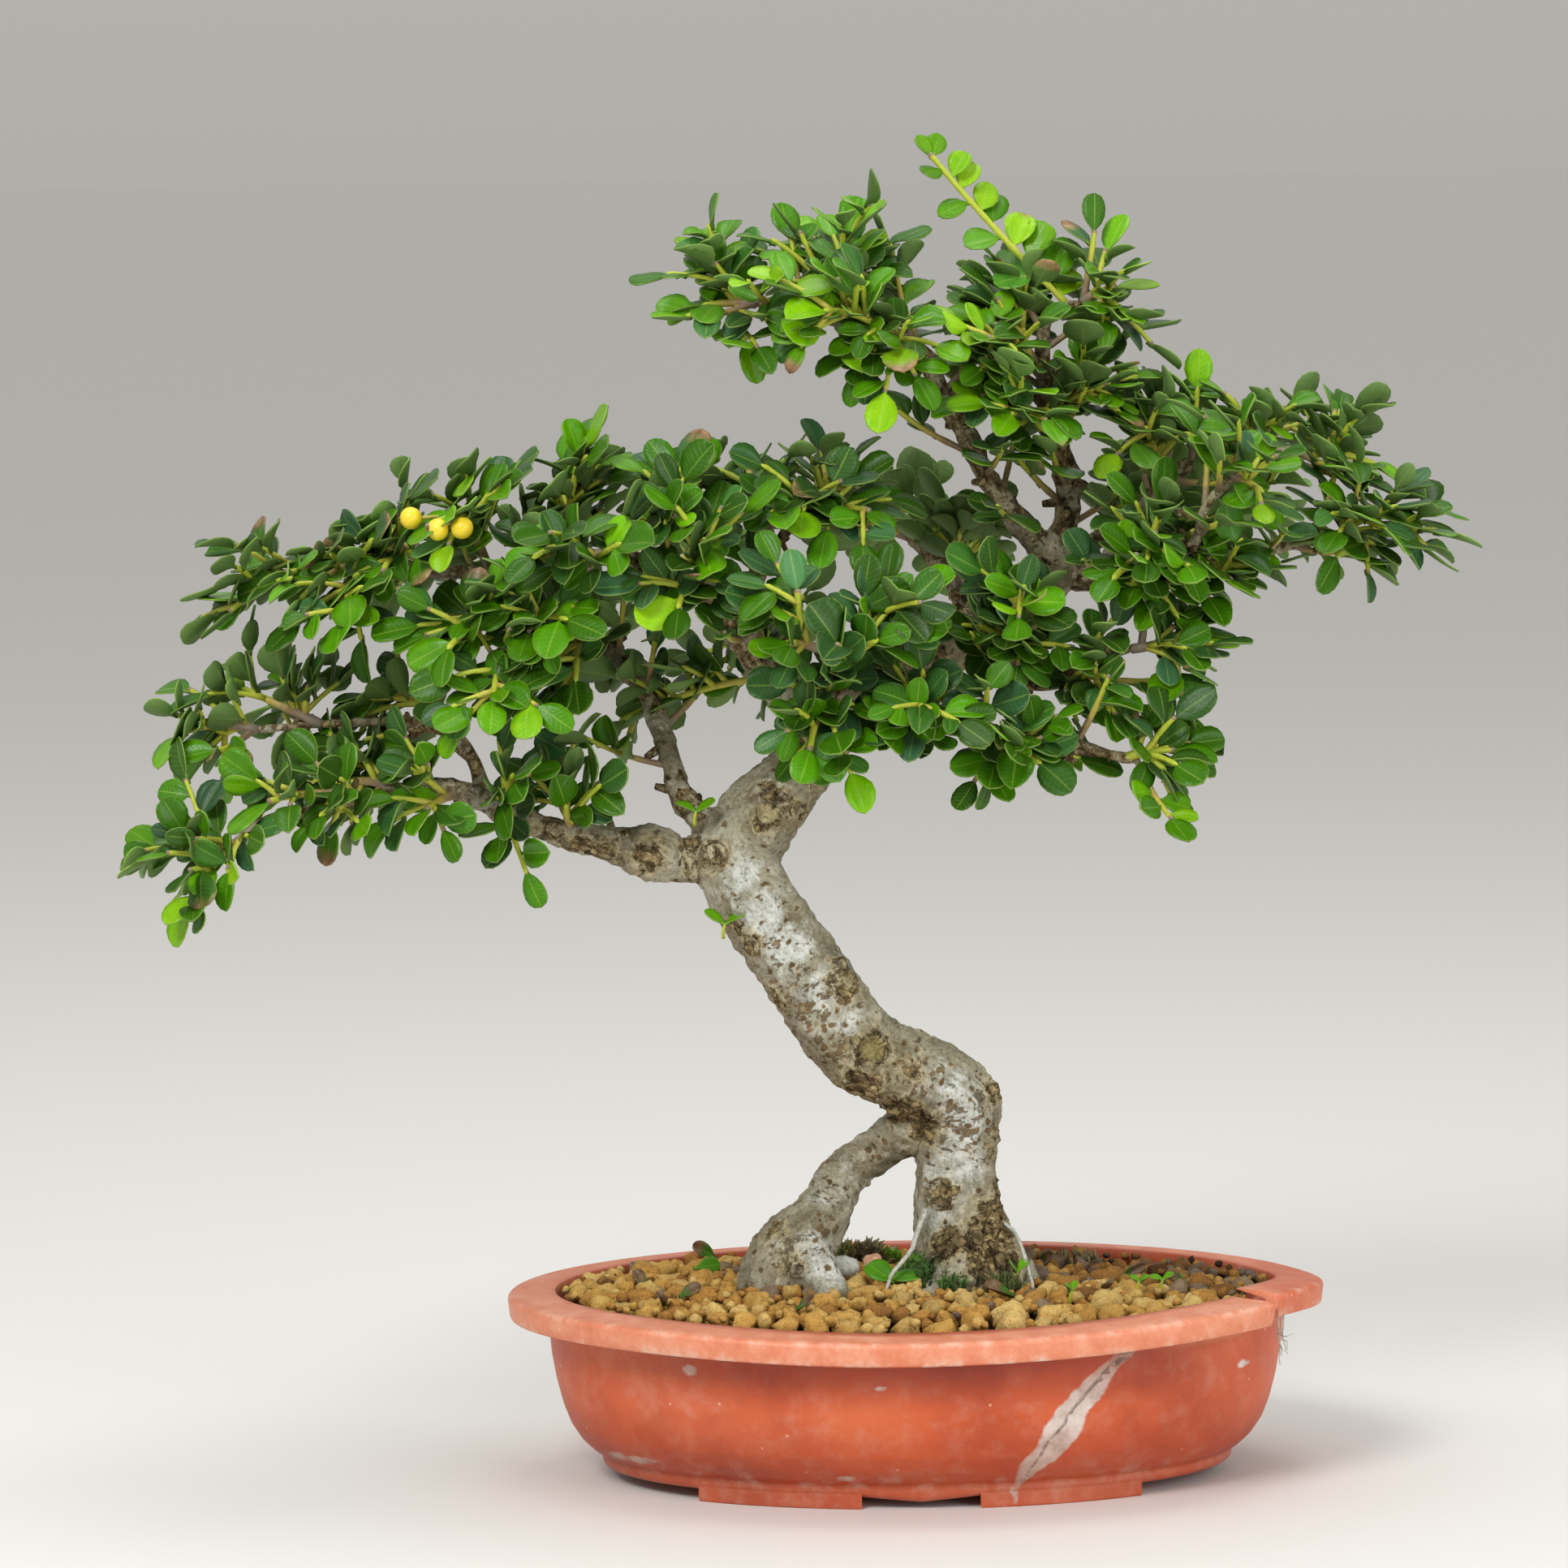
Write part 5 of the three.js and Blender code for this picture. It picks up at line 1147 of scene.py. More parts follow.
# the long shoot at the top: its leaves stand apart, on every such share of its length
leader = {"leaves": 14, "from": 0.05, "every": 0.079, "face": [0.15, -0.9, 0.45], "age": 0.33,
          "aspect": 0.74}
crownMiddle = np.array([-20.0, 8.0, 215.0])
freshSprays = ["leader", "rightUpEnd", "rightEnd", "lowRightEnd", "topLeftUpright"]  # green to their bases


def randomFrom(seed):
    state = seed

    def draw():
        nonlocal state
        state = state * 48271 % 2147483647
        return state / 2147483647
    return draw


def placeOn(limb, place):
    points = np.array(limbs[limb], float)
    index = min(math.floor(place), len(points) - 2)
    return (points[index] + (points[index + 1] - points[index]) * (place - index))[:3]


def curvePoint(curve, t):
    start, bend, end = curve
    return (1 - t) ** 2 * start + 2 * (1 - t) * t * bend + t * t * end


def curveWay(curve, t):
    start, bend, end = curve
    return unit((1 - t) * (bend - start) + t * (end - bend))


def faceWay(place, draw):  # up and out of the crown, with some chance in it
    out = unit((place - crownMiddle) * [0.5, 1.6, 0.6])
    chance = np.array([draw() - 0.5, draw() - 0.5, draw() - 0.5])
    return unit(np.array([0, 0, 0.62]) + 0.6 * out + 1.3 * chance)


def leafAt(base, way, face, length, aspect, **more):  # its face is turned square to its way
    return {"base": base, "way": way, "face": unit(face - way * (face @ way)),
            "length": length, "width": length * aspect, **more}


def growLeaf(base, way, draw, size, age):
    face = faceWay(base, draw)
    length = (leaf["shortest"] + (leaf["longest"] - leaf["shortest"]) * draw()) * size
    return leafAt(base, way, face, length, 0.54 + 0.26 * draw() ** 1.5, age=age)


def leavesAlong(curve, length, start, draw, age):
    leaves = []
    count = max(1, math.floor(length * (1 - start) / leaf["spacing"] + 0.5))
    for k in range(count):
        t = start + (1 - start) * (k + 0.3) / count
        along = curveWay(curve, t)
        place = curvePoint(curve, t)
        face = faceWay(place, draw)
        side = unit(np.cross(along, face))
        hand = 1 if k % 2 == 0 else -1
        rise = 0.1 + 0.4 * draw()
        way = unit(0.6 * along + 0.85 * hand * side + rise * face)
        leaves.append(growLeaf(place, way, draw, 0.8 + 0.2 * t, age + 0.35 * (1 - t)))
    leaves.append(growLeaf(curvePoint(curve, 1), curveWay(curve, 1), draw, 1, age))
    return leaves


def growShoot(twigCurve, t, hand, draw):
    base = curvePoint(twigCurve, t)
    along = curveWay(twigCurve, t)
    side = unit(np.cross(along, faceWay(base, draw)))
    rise = np.array([0, 0, 0.1 + 0.5 * draw()])
    way = unit(0.55 * along + 0.8 * hand * side + rise)
    length = (shoot["shortest"] + (shoot["longest"] - shoot["shortest"]) * draw()) * (1.15 - 0.4 * t)
    end = base + way * length
    curve = [base, (base + end) / 2 + [0, 0, 0.1 * length], end]
    leaves = leavesAlong(curve, length, 0.3, draw, 0.3 + 0.45 * (1 - t))
    return {"curve": curve, "length": length, "leaves": leaves}


def growSpray(number, limb, place, *tips):
    twigs = []
    root = placeOn(limb, place)
    limbRadius = limbs[limb][math.floor(place)][3]
    for j, tip in enumerate(np.array(tips, float)):
        draw = randomFrom(1000 + 37 * number + 11 * j)
        clear = 0 if j == 0 else (limbRadius + twig["forkRoom"]) / twigs[0]["length"]
        evenly = 0.2 + 0.35 * (j - 1) / max(1, len(tips) - 1)
        fork = min(max(evenly, clear), 0.85)
        start = root if j == 0 else curvePoint(twigs[0]["curve"], fork)
        reach = np.linalg.norm(tip - start)
        end = tip + (start - tip) * min(twig["leafReach"] / reach, 0.5)
        length = np.linalg.norm(end - start)
        sway = np.array([draw() - 0.5, draw() - 0.5, draw() - 0.5 + twig["lift"] / 0.15])
        curve = [start, (start + end) / 2 + sway * 0.15 * length, end]
        leaves = leavesAlong(curve, length, 0.35, draw, 0.25)
        count = math.floor(length * 0.7 / shoot["spacing"] + 0.5)
        shoots = []
        for k in range(count):
            t = 0.25 + 0.65 * (k + draw() * 0.5) / count
            shoots.append(growShoot(curve, t, 1 if (k + j) % 2 == 0 else -1, draw))
        twigs.append({"curve": curve, "length": length, "leaves": leaves, "shoots": shoots})
    return twigs


leafRows = np.array(leaf["rows"])


def leafFaces():  # quads over the top and the underside, the two edges, and both ends
    count, columns, under = len(leafRows), len(leaf["columns"]), len(leaf["underColumns"])
    below = count * columns
    faces = []
    for r in range(count - 1):
        a, b = r * columns, (r + 1) * columns
        faces += [[a + c, a + c + 1, b + c + 1, b + c] for c in range(columns - 1)]
        d, e = below + r * under, below + (r + 1) * under
        faces += [[d + c + 1, d + c, e + c, e + c + 1] for c in range(under - 1)]
        faces.append([a, b, e, d])
        faces.append([b + columns - 1, a + columns - 1, d + under - 1, e + under - 1])
    for r, turned in ((0, 1), (count - 1, -1)):
        end = [r * columns + c for c in range(columns - 1, -1, -1)]
        faces.append((end + [below + r * under + c for c in range(under)])[::turned])
    return faces


leafPolygons = leafFaces()
# how far a leaf turns out of the crown, and up: on the left and in the middle, and at the right end
leafTurn = {"out": [0.9, 0.45], "up": [0.4, 0.85], "from": -10, "to": 70,
            "spread": [0.3, 1.6, 0.25], "toFront": [0, -18, 0]}


def leafBody(one, dice):  # a bent, folded obovate blade on its stalk, and the places on it
    shape, blunt = dice.uniform(0.5, 0.72), dice.uniform(0.42, 0.58)
    arch = dice.normal(-0.08, 0.12) * one["length"]
    fold, cup, twist = dice.normal(0.14, 0.13), dice.normal(0.02, 0.08), dice.normal(0, 0.16)
    fold, arch = fold + one.get("curl", 0), arch + 0.5 * one.get("curl", 0) * one["length"]
    ripple, start = dice.uniform(0, 0.05), dice.uniform(0, 6)
    side = np.cross(one["way"], one["face"])
    layers, places = [], []
    for columns, sunk in ((leaf["columns"], 0), (leaf["underColumns"], leaf["thickness"])):
        t = leafRows[:, None]
        s = np.array(columns)[None, :]
        blade = np.clip((t - leaf["stalk"]) / (1 - leaf["stalk"]), 0, 1)
        peak = shape / (shape + blunt)
        half = blade ** shape * (1 - blade) ** blunt / (peak ** shape * (1 - peak) ** blunt)
        half = np.maximum(half * one["width"] / 2, np.where(t > 0.9, 0.15, 0.45))
        across = s * half
        height = arch * t ** 2 + fold * np.abs(across) + cup * across ** 2 / one["width"] * 4
        height = height + twist * across * t
        height = height + ripple * np.abs(across) * np.sin(9 * t + 4 * np.sign(s) + start)
        height = height - 0.2 * (s == 0) * (blade > 0.02)
        thick = np.where(t < leaf["stalk"], 2 * sunk, sunk) + (0.5 * (s == 0) * (1 - blade) if sunk else 0)
        height = height - thick
        along = t * one["length"] * (1 - 0.5 * (arch / one["length"]) ** 2)
        layer = one["base"] + along[..., None] * one["way"] + across[..., None] * side
        layers.append((layer + height[..., None] * one["face"]).reshape(-1, 3))
        u = np.broadcast_to(0.5 + 0.5 * s, height.shape).ravel()
        v = np.broadcast_to(blade, height.shape).ravel()
        places.append(np.stack([u, v, np.full(len(u), float(sunk > 0))], axis=1))
    return np.concatenate(layers), np.concatenate(places)


def makeLeafMaterial():
    # Cotoneaster leaf, grown: a leathery blade with a waxy gloss above, a sunken paler midrib, a thin
    # yellow-green margin, blue-green bloom with age, and a dull grey-green felt below.
    material, shader, add = newMaterial("cotoneasterLeaf")
    age, withered, bloom, tone = pointTraits(add)
    place = add("Attribute", attribute_name="places").outputs["Vector"]
    u, v, below = add("SeparateXYZ", [place]).outputs
    here = add("TexCoord").outputs["Object"]
    centred = add("Math", [u, 2.0, -1.0], operation="MULTIPLY_ADD")
    across = add("Math", [centred], operation="ABSOLUTE")
    mottle = add("TexNoise", {"Vector": here, "Scale": 1 / 0.004, "Detail": 4.0, "Roughness": 0.6})
    aged = add("Math", [mottle, 0.24, age], operation="MULTIPLY_ADD")
    green = add("ValToRGB", [aged], stops=[
        (0.08, "#8fbc18"), (0.24, "#66a200"), (0.42, "#478300"), (0.62, "#356800"), (0.9, "#2a4c0c")])
    bluish = add("Mix", {0: bloom, 6: green, 7: "#3d6a4d"}, data_type="RGBA")
    # side veins: eight pairs, slanting to the tip
    slanted = add("Math", [across, -0.22, v], operation="MULTIPLY_ADD")
    wave = add("Math", [slanted, 8 * 2 * math.pi], operation="MULTIPLY")
    veins = add("Math", [wave], operation="SINE")
    vein = add("MapRange", [veins, 0.8, 1.0, 0.0, 0.12])
    veined = add("Mix", {0: vein, 6: bluish, 7: "#86a64a"}, data_type="RGBA")
    rib = add("MapRange", [across, 0.08, 0.02, 0.0, 0.3])
    ribbed = add("Mix", {0: rib, 6: veined, 7: "#9bb74a"}, data_type="RGBA")
    rim = add("MapRange", [across, 0.95, 1.0, 0.0, 0.4])
    tip = add("MapRange", [v, 0.985, 1.0, 0.0, 0.4])
    edge = add("Math", [rim, tip], operation="MAXIMUM")
    edged = add("Mix", {0: edge, 6: ribbed, 7: "#a5b84a"}, data_type="RGBA")
    # withering starts at the tip, yellow then brown
    dry = add("Math", [mottle, 0.5, v], operation="MULTIPLY_ADD")
    drier = add("Math", [withered, 1.15, dry], operation="MULTIPLY_ADD")
    dead = add("MapRange", [drier, 1.55, 1.85, 0.0, 1.0])
    brown = add("ValToRGB", [mottle], stops=[(0.35, "#6f5238"), (0.55, "#9c7c58"), (0.75, "#b9a06f")])
    faded = add("Mix", {0: dead, 6: edged, 7: brown}, data_type="RGBA")
    felt = add("Mix", {0: rib, 6: "#5f7d3f", 7: "#8fa357"}, data_type="RGBA")
    lower = add("Mix", {0: dead, 6: felt, 7: brown}, data_type="RGBA")
    both = add("Mix", {0: below, 6: faded, 7: lower}, data_type="RGBA")
    toned = add("VectorMath", {0: both, 3: tone}, operation="SCALE")
    waxy = add("MapRange", [age, 0.1, 0.9, 0.26, 0.36])
    dullest = add("Math", [below, 0.35, waxy], operation="MULTIPLY_ADD")
    relief = add("Math", [vein, -1.0, mottle], operation="MULTIPLY_ADD")
    bump = add("Bump", {"Height": relief, "Strength": 0.5, "Distance": 0.0004})
    feed(shader, {"Base Color": toned, "Roughness": dullest, "Specular IOR Level": 0.24, "Normal": bump})
    return material


def makeStemMaterial():
    # Young cotoneaster wood, grown: smooth and yellow-green at the tips, brown-grey and scaly below
    material, shader, add = newMaterial("youngShoot")
    woody = pointTraits(add)[0]
    here = add("TexCoord").outputs["Object"]
    mottle = add("TexNoise", {"Vector": here, "Scale": 1 / 0.0016, "Detail": 4.0, "Roughness": 0.65})
    mixed = add("Math", [mottle, 0.4, woody], operation="MULTIPLY_ADD")
    colour = add("ValToRGB", [mixed], stops=[
        (0.12, "#9fb92a"), (0.36, "#b9bd3c"), (0.54, "#b39f4b"), (0.74, "#8a7358"), (1.0, "#8f8676")])
    bump = add("Bump", {"Height": mottle, "Strength": 0.6, "Distance": 0.0004})
    feed(shader, {"Base Color": colour, "Roughness": 0.55, "Normal": bump})
    return material


def addStem(heap, one, thick, thin, woody, dice):
    count = max(3, round(one["length"] / 3))
    shares = np.linspace(0, 1, count + 1)
    middles = np.array([curvePoint(one["curve"], t) for t in shares])
    swell = 1 + twig["swell"] * (np.arange(count + 1) % 2)  # at the leaves' bases
    radii = (thick + (thin - thick) * shares) * swell
    tail = unit(middles[-1] - middles[-2])
    woody = woody + (twig["greenEnd"] - woody) * shares
    if dice.random() < twig["pruned"]:  # pruned: a blunt end, dried brown
        ends = barLine((middles[-1] + tail * 1.2, thin * 1.1), (middles[-1] + tail * 1.5, thin * 0.9))
        woody = np.concatenate([woody, [0.62, 0.7]])
    else:  # a bud
        ends = barLine((middles[-1] + tail * 0.8, thin * 1.1), (middles[-1] + tail * 2.0, thin * 0.35))
        woody = np.concatenate([woody, [twig["greenEnd"]] * 2])
    line = np.vstack([np.column_stack([middles, radii]), ends])
    heap.addBar(line, twig["sides"], rows(np.repeat(woody, twig["sides"]), 0.0, 0.0, 1.0), 1)


def insideBox(points):  # whether a leaf stays in the room that the frame gives it
    low, high = np.array(cadBox)
    placed = toFrame(points)
    return (placed > low - 0.0005).all() and (placed < high + 0.0005).all()


def addLeaf(heap, one, dice):
    outward = (one["base"] - crownMiddle) * leafTurn["spread"]
    outward = unit(outward + leafTurn["toFront"])
    share = step(leafTurn["from"], leafTurn["to"], one["base"][0])
    out, up = (a + (b - a) * share for a, b in (leafTurn["out"], leafTurn["up"]))
    face = unit(one["face"] + out * outward + [0, 0, up])
    way = unit(one["way"] - 0.45 * face * (one["way"] @ face))
    one = dict(one, way=way, face=unit(face - way * (face @ way)))
    points, places = leafBody(one, dice)
    if not insideBox(points):
        return
    depth = np.linalg.norm((one["base"] - crownMiddle) * [0.45, 0.9, 1.2]) / 60
    age = one["age"] + dice.normal(leaf["older"], leaf["ageSpread"]) + leaf["olderInside"] * (1 - depth)
    age = np.clip(age, 0.02, 1)
    bloom = np.clip(dice.normal(-0.1, 0.25) + 0.6 * (age - 0.5), 0, 0.8)
    withered = dice.uniform(*leaf["withered"]) if dice.random() < leaf["withering"] else 0
    heap.add(points, leafPolygons, [age, withered, bloom, dice.uniform(*leaf["tones"])], places)


def addLeaves(heap, leaves, dice):
    for one in leaves:
        addLeaf(heap, one, dice)
    return len(leaves)


def fillingShoots(curve, length, spacing, dice):  # short side shoots all round a twig, to close the crown
    shoots = []
    for _ in range(round(length / spacing)):
        t = dice.uniform(filling["from"], 0.97)
        along = curveWay(curve, t)
        base = curvePoint(curve, t)
        out = unit(np.cross(along, dice.normal(size=3)) + [0, 0, 0.25])
        way = unit(0.6 * along + 0.8 * out)
        long = dice.uniform(filling["shortest"], filling["longest"])
        side = [base, base + way * long * 0.5 + [0, 0, 0.06 * long], base + way * long]
        shoots.append({"curve": side, "length": long, "age": 0.25 + 0.5 * (1 - t)})
    return shoots


def fillingLeaves(one, dice):
    leaves = []
    count = max(2, round(one["length"] / filling["leafSpacing"]))
    for k in range(count + 1):
        t = min(1, (k + 0.6) / count)
        along = curveWay(one["curve"], t)
        place = curvePoint(one["curve"], t)
        face = faceWay(place, dice.random)
        hand = 1 if k % 2 == 0 else -1
        way = unit(0.6 * along + 0.85 * hand * unit(np.cross(along, face)) + dice.uniform(0.1, 0.5) * face)
        if k == count:
            way = along
        leaves.append(growLeaf(place, way, dice.random, dice.uniform(0.72, 1.0), one["age"]))
    return leaves


def addLeaderLeaves(heap, curve, dice):  # leaves that stand apart, smaller to the tip
    for k in range(leader["leaves"]):
        t = min(1, leader["from"] + leader["every"] * k)
        along, place = curveWay(curve, t), curvePoint(curve, t)
        face = unit(np.array(leader["face"]) + 0.25 * dice.normal(size=3))
        hand = -1 if k % 3 == 2 else 1
        way = unit((0.45 if t < 1 else 2) * along + 0.85 * hand * unit(np.cross(along, face)))
        length = leaf["longest"] * (0.88 - 0.03 * k)
        addLeaf(heap, leafAt(place, way, face, length, leader["aspect"], age=leader["age"]), dice)


def makeFoliage(leafLook, stemLook):
    total = 0
    for number, (name, entry) in enumerate(sprays.items()):
        heap = Heap()
        dice = np.random.default_rng(filling["seed"] + number)
        for j, one in enumerate(growSpray(number, *entry)):
            base = twig["baseRadius"] if j == 0 and name != "leader" else twig["forkRadius"]
            woody = twig["fresh" if name in freshSprays else "other" if j else "first"]
            addStem(heap, one, base, twig["tipRadius"], woody, dice)
            if name == "leader":  # one long bare shoot with its leaves apart
                addLeaderLeaves(heap, one["curve"], dice)
                continue
            leaves = list(one["leaves"])
            for side in one["shoots"]:
                addStem(heap, side, shoot["baseRadius"], shoot["tipRadius"], shoot["woody"], dice)
                leaves += side["leaves"]
            bend = one["curve"][1]
            thin = bend[0] > filling["closerRight"] or bend[2] > filling["closerAbove"]
            spacing = filling["closer"] if thin else filling["spacing"]
            for side in fillingShoots(one["curve"], one["length"], spacing, dice):
                addStem(heap, side, shoot["baseRadius"], shoot["tipRadius"], filling["woody"], dice)
                leaves += fillingLeaves(side, dice)
            total += addLeaves(heap, leaves, dice)
        heap.piece("foliage_" + name, "foliage", [leafLook, stemLook], ["spray_" + name])
    for number, (name, spacing) in enumerate(inner.items()):  # short twigs straight from the limbs
        heap = Heap()
        dice = np.random.default_rng(innerSeed + number)
        line = smoothLine(limbs[name], spacing)
        ways, _, _ = framesAlong(line[:, :3])
        for (x, y, z, radius), along in zip(line[2:], ways[2:]):
            start = np.array([x, y, z])
            out = unit(np.cross(along, dice.normal(size=3)) + [0, -0.3, 0.25])
            way = unit(0.35 * along + out)
            way = unit([way[0], way[1], max(way[2], -0.15)])
            long = radius + dice.uniform(13, 25)
            bend = start + way * long * 0.55 - [0, 0, 0.04 * long]
            curve = [start, bend, start + way * long + [0, 0, 0.1 * long]]
            stem = {"curve": curve, "length": long}
            addStem(heap, stem, twig["forkRadius"], shoot["tipRadius"], twig["inside"], dice)
            outer = {"curve": [curvePoint(curve, t) for t in (0.35, 0.68, 1.0)], "length": 0.65 * long}
            total += addLeaves(heap, fillingLeaves(dict(outer, age=dice.uniform(0.2, 0.7)), dice), dice)
        heap.piece("foliage_inner_" + name, "foliage", [leafLook, stemLook])
    return total


# Berries

berries = {
    "radius": 3.1,
    "centres": [[-127, -19, 256.6], [-120.4, -20, 257], [-134.5, -14, 259.5]],
    "tips": [[-1, -0.3, 0.1], [0.5, 0.6, -0.7], [-0.9, 0.3, -0.2]],  # which way each one's dry end looks
    "spray": "berryTwig", "stalkFrom": 0.8, "stalkRadius": 0.5,
}


def makeBerryMaterial():
    # Unripe cotoneaster fruit, grown: a taut waxy skin, yellow with green round the stalk
    material, shader, add = newMaterial("unripeBerry")
    end = pointTraits(add)[0]
    here = add("TexCoord").outputs["Object"]
    mottle = add("TexNoise", {"Vector": here, "Scale": 1 / 0.0022, "Detail": 4.0})
    mixed = add("Math", [mottle, 0.35, end], operation="MULTIPLY_ADD")
    colour = add("ValToRGB", [mixed], stops=[
        (0.12, "#9fb020"), (0.34, "#dcc21a"), (0.62, "#edd136"), (0.8, "#e9d27a"), (1.0, "#8a6a40")])
    feed(shader, {"Base Color": colour, "Roughness": 0.35, "Subsurface Weight": 0.15,
                  "Subsurface Scale": 0.001})
    return material


def makeBerries(skin, stemLook):
    ball, faces = ballBody(3)
    mainTwig = growSpray(list(sprays).index(berries["spray"]), *sprays[berries["spray"]])[0]["curve"]
    start = curvePoint(mainTwig, berries["stalkFrom"])
    for number, centre in enumerate(np.array(berries["centres"])):
        heap = Heap()
        away = unit(np.array(berries["tips"][number]))
        stem = unit(centre - start)
        height = ball @ away
        flatter = 0.03 * np.abs(height), 0.10 * step(0.86, 1, height), 0.06 * step(0.9, 1, -height)
        radius = berries["radius"] * (1 - flatter[0] - flatter[1] - flatter[2])
        end = np.clip(0.25 + 0.25 * (height + 1) / 2 + 0.6 * step(0.92, 0.98, height), 0, 1)
        heap.add(ball * radius[:, None] + centre, faces.tolist(), rows(end, 0.0, 0.0, 1.0))
        for k in range(5):  # the dry sepals at its end
            across = unit(np.cross(away, [0.3, 1, 0.2]))
            other = np.cross(away, across)
            lean = math.cos(2 * math.pi * k / 5) * across + math.sin(2 * math.pi * k / 5) * other
            foot = centre + away * berries["radius"] * 0.86 + lean * 0.9
            sepal = barLine((foot, 0.36), (foot + away * 0.35 + lean * 0.1, 0.28),
                            (foot + away * 0.6 - lean * 0.2, 0.12))
            heap.addBar(sepal, 6, [1, 0, 0, 1])
        thick = berries["stalkRadius"]
        stalk = barLine((start, thick), ((start + centre) / 2 + [0, 0, 0.8], thick),
                        (centre - stem * (berries["radius"] - 0.3), thick * 1.3))
        heap.addBar(smoothLine(stalk, 1), 8, [0.3, 0, 0, 1], 1)
        heap.piece(f"berry_{number + 1}_skin", "berry", [skin, stemLook], [f"berry_{number + 1}"])


# What lies and grows on the soil and the bark

litter = {
    "seed": 61,
    # thin roots and root hairs: lines of [x, y, z, radius]
    "roots": [
        [[3, -11, 68, 0.7], [1.4, -13, 64.4, 0.75], [-0.1, -15, 60.7, 0.7], [-1.2, -17, 57.9, 0.65],
         [-4.2, -19, 54.5, 0.6], [-6.9, -21, 51.5, 0.55], [-9, -22, 46, 0.4]],
        [[23.5, -7, 64, 0.6], [26.6, -8.5, 61.8, 0.6], [28.2, -10.5, 59.3, 0.55], [29.6, -13, 55.8, 0.5],
         [30.8, -15.5, 51.7, 0.5], [32, -17, 46, 0.4]],
    ],
    "hairs": [
        [[97.7, -32, 43, 0.3], [97.8, -33.6, 37, 0.24], [97.7, -33.8, 34.5, 0.2], [98.4, -34, 32.5, 0.18],
         [98.1, -34.2, 30, 0.12]],
        [[99.3, -32, 43, 0.26], [98.9, -33.6, 38.5, 0.22], [98.6, -33.8, 35.5, 0.2], [99.6, -34, 33, 0.16],
         [100.2, -34.2, 31, 0.12]],
        [[98.2, -34, 36, 0.15], [99.5, -34.8, 35.8, 0.15], [101.2, -34.5, 36.2, 0.13], [102, -34, 36.3, 0.1]],
        [[98.4, -34, 34.8, 0.16], [99.8, -33.6, 34.2, 0.15], [100.2, -34.4, 32.6, 0.14],
         [99.0, -35, 31.8, 0.13], [98.2, -34.4, 32.8, 0.1]],
        [[98.0, -34, 33, 0.14], [97.6, -34.4, 29.5, 0.12], [97.9, -34.2, 27.8, 0.1]],
    ],
    # pebbles: [x, y, how high the middle is over the soil, width, colour]
    "pebbles": [
        [-19.8, -2, 4.6, 8.5, "#c9cbc0"], [-11.4, 1, 4.4, 7.0, "#cc9c7c"], [-27, 30, 3.5, 8, "#9b8f7d"],
    ],
    # moss: [x, y, reach, height, how many tufts, colour]
    "moss": [
        [-18, 22, 6.0, 7.0, 150, "#8d8a4c"], [-12, 25, 5.0, 8.0, 90, "#b3ab84"],
        [-22, 20, 5.0, 4.0, 90, "#55702a"], [-14, 20, 8.0, 5.0, 130, "#6b5a3a"],
        [-7, 24, 4.0, 4.0, 60, "#7fae2c"], [1, -8, 6.0, 7.0, 240, "#47691d"],
        [3, -16, 4.5, 5.5, 200, "#36541a"], [9, -21, 4.5, 2.5, 120, "#3c5a1c"],
        [4, 12, 8.0, 6.0, 150, "#37491a"], [-24, 10, 6.0, 4.5, 120, "#4f5c1e"],
        [24, -19, 4.5, 2.5, 90, "#4a5220"], [47, 40, 8, 1.0, 60, "#6a5d3a"],
    ],
    # fallen leaves: [x, y, heading in degrees, length, withered, how steep it stands]
    "leaves": [
        [-9.5, -15, 140, 10.5, 0.0, 0.45], [-3.4, -18, 350, 9.5, 0.0, 0.1], [-57.3, 12, 20, 8, 0.0, 0.1],
        [11.3, -16.7, 60, 9, 1.0, 0.3], [21.9, -31.7, 200, 10, 1.0, 0.2], [37.6, 30.5, 300, 10, 1.0, 0.5],
        [15.2, 5.3, 110, 9, 1.0, 0.7], [-58.7, 50, 170, 8, 0.8, 0.5], [-61.9, -21.5, 30, 7, 1.0, 0.4],
        [-69.4, -33.7, 250, 6, 1.0, 0.3], [-75.6, -0.9, 120, 7, 1.0, 0.5], [60, 12, 40, 8, 1.0, 0.4],
        [72, -2, 130, 7, 1.0, 0.3], [52, -20, 310, 6, 1.0, 0.4], [-30, -44, 10, 6, 1.0, 0.3],
    ],
    # sprouts: [x, y, z or 0 for the soil, heading, leaf length]
    "sprouts": [
        [27.3, -15.4, 0, 60, 4.5], [66.5, -21, 0, 20, 3.5], [60, -24, 0, 140, 3.0],
        [-51.5, -12, 145.5, 165, 6.5], [-59, -8, 176, 175, 6.0], [41, -38, 0, 250, 3.0],
    ],
}


# a tuft of moss: how far its foot is over the soil bed and how deep it goes, and its spread in its patch
tuft = {"lift": 3.4, "rooted": 3.5, "heights": [1.2, 2.8], "radii": [0.6, 0.42, 0.1], "tones": [0.6, 1.5],
        "spread": 0.42}


def makeScrapMaterial():
    # Moss and pebbles, grown and weathered: dull, soft and uneven, each in its own tint
    material, shader, add = newMaterial("mossAndPebbles")
    tint = add("VertexColor", layer_name="traits")
    here = add("TexCoord").outputs["Object"]
    mottle = add("TexNoise", {"Vector": here, "Scale": 1 / 0.0022, "Detail": 5.0, "Roughness": 0.65})
    shade = add("MapRange", [mottle, 0.3, 0.7, 0.55, 1.25])
    colour = add("VectorMath", {0: tint, 3: shade}, operation="SCALE")
    bump = add("Bump", {"Height": mottle, "Strength": 0.6, "Distance": 0.0006})
    feed(shader, {"Base Color": colour, "Roughness": 0.8, "Normal": bump})
    return material


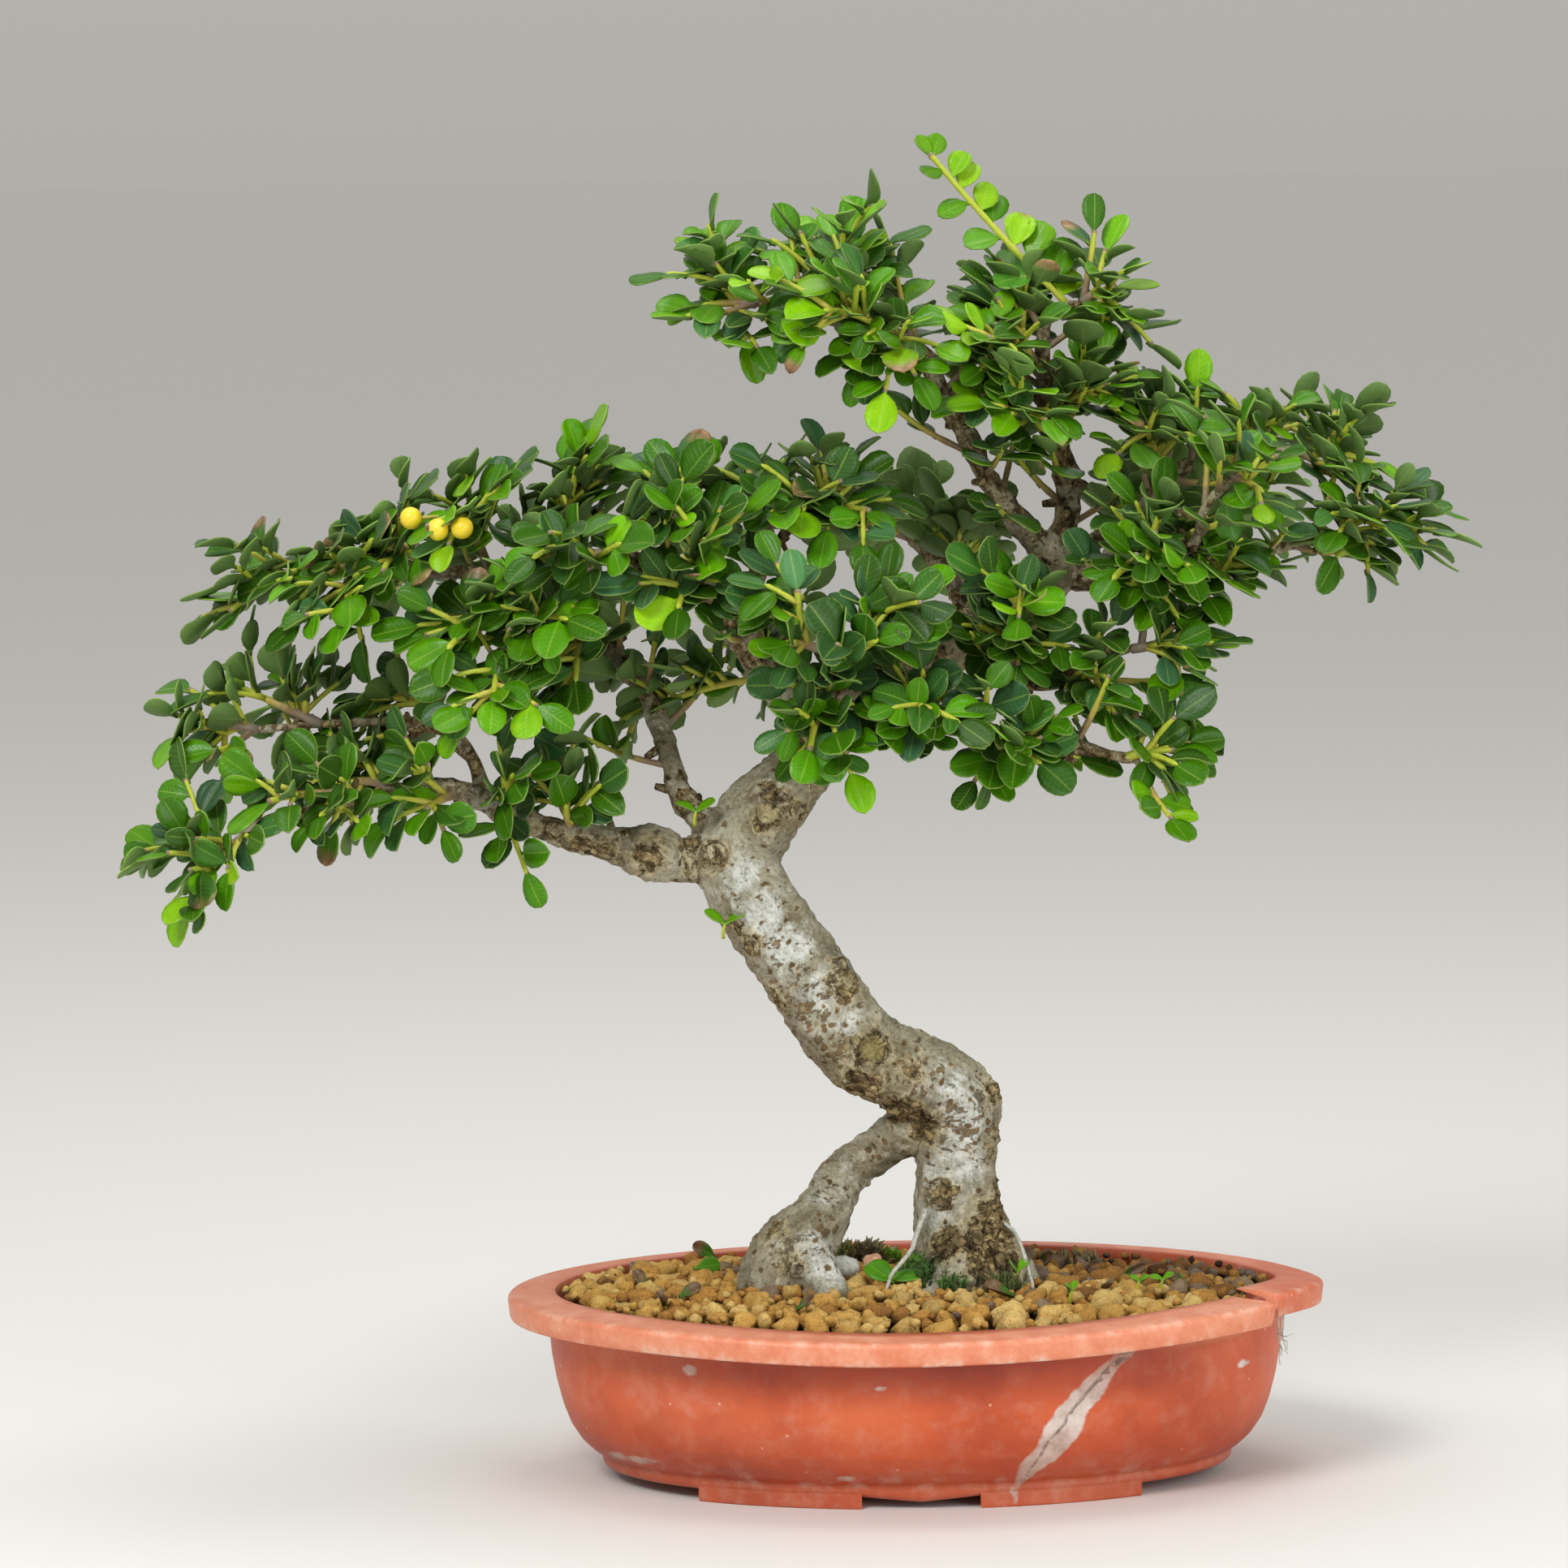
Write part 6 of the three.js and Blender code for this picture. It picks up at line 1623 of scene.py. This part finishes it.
def makeLitter(leafLook, stemLook, barkLook, scrapLook):
    dice = np.random.default_rng(litter["seed"])
    heap = Heap()
    for line in litter["roots"] + litter["hairs"]:
        body, faces, unrolled = tubeBody(smoothLine(line, 1.2), 8)
        body = body + 0.12 * waves(body, 3, 62)[:, None]
        heap.add(body, faces, [0.15, 0, 0.7, 0], unrolled)
    heap.piece("thinRoots", "bark", [barkLook])

    ball, faces = ballBody(3)
    heap = Heap()
    for number, (x, y, lift, width, colour) in enumerate(litter["pebbles"]):
        body = granuleBody(ball, width, 90 + number)
        heap.add(body + [x, y, bedHeight(x, y) + lift], faces.tolist(), toLinear(colour))
    heap.piece("pebbles", "soil", [scrapLook])

    heap = Heap()
    for x, y, reach, height, count, colour in litter["moss"]:
        for _ in range(count):
            off = dice.normal(0, tuft["spread"], 2)
            if np.hypot(*off) > 1:
                continue
            foot = np.array([x + reach * off[0], y + reach * off[1], 0])
            foot[2] = bedHeight(foot[0], foot[1]) + tuft["lift"] + height * (1 - off @ off) * 0.6
            lean = unit(np.array([off[0], off[1], 0.5]) + 0.8 * dice.normal(size=3))
            tall = dice.uniform(*tuft["heights"])
            places = foot - [0, 0, tuft["rooted"]], foot + lean * tall * 0.5, foot + lean * tall
            tint = np.array(toLinear(colour)) * dice.uniform(*tuft["tones"])
            heap.addBar(barLine(*zip(places, tuft["radii"])), 5, tint)
    heap.piece("moss", "soil", [scrapLook])

    heap = Heap()
    for x, y, heading, length, withered, steep in litter["leaves"]:
        turned = math.radians(heading)
        way = unit(np.array([math.cos(turned), math.sin(turned), steep]))
        face = unit(np.array([0, -0.9, 0.8]) + 0.35 * dice.normal(size=3))
        base = np.array([x, y, bedHeight(x, y) + 5.0 - 1.2 * withered])
        middle = base - way * length / 2
        one = leafAt(middle, way, face, length, 0.66 - 0.16 * withered, curl=0.55 * withered)
        points, places = leafBody(one, dice)
        heap.add(points, leafPolygons, [0.3, withered, 0.1, 1 - 0.5 * withered], places)
    for x, y, z, heading, length in litter["sprouts"]:
        turned = math.radians(heading)
        foot = np.array([x, y, z or bedHeight(x, y) + 4])
        top = foot + [0.5, -1.0, 2.5]
        stem = barLine((foot - [0, -1.5, 2], 0.5), (foot, 0.45), (top, 0.4))
        heap.addBar(smoothLine(stem, 1), 6, [0.1, 0, 0, 1], 1)
        for hand in (-1, 1):
            way = unit(np.array([hand * math.cos(turned), hand * math.sin(turned) * 0.5, 0.55]))
            face = unit(np.array([-0.4 * hand * math.cos(turned), -0.6, 1.0]))
            points, places = leafBody(leafAt(top, way, face, length, 0.62), dice)
            heap.add(points, leafPolygons, [0.22, 0, 0, 1], places)
    heap.piece("fallenLeaves", "foliage", [leafLook, stemLook])


barkLook = makeBarkMaterial()
woodPoints = makeWood(barkLook)
print("stage: wood", len(woodPoints), "points")

lowWood = woodPoints[(woodPoints[:, 2] > 41) & (woodPoints[:, 2] < 50)]


def woodAt(x, y):  # how far the nearest wood at the soil's height is
    return np.hypot(lowWood[:, 0] - x, lowWood[:, 1] - y).min()


soilLook = makeSoilMaterial()
granules = makeSoil(soilLook, woodAt)
print("stage: soil", len(granules), "granules")

leafLook, stemLook = makeLeafMaterial(), makeStemMaterial()
leafCount = makeFoliage(leafLook, stemLook)
print("stage: foliage", leafCount, "leaves")

makeBerries(makeBerryMaterial(), stemLook)
print("stage: berries")

makeLitter(leafLook, stemLook, barkLook, makeScrapMaterial())
print("stage: moss, roots and litter")
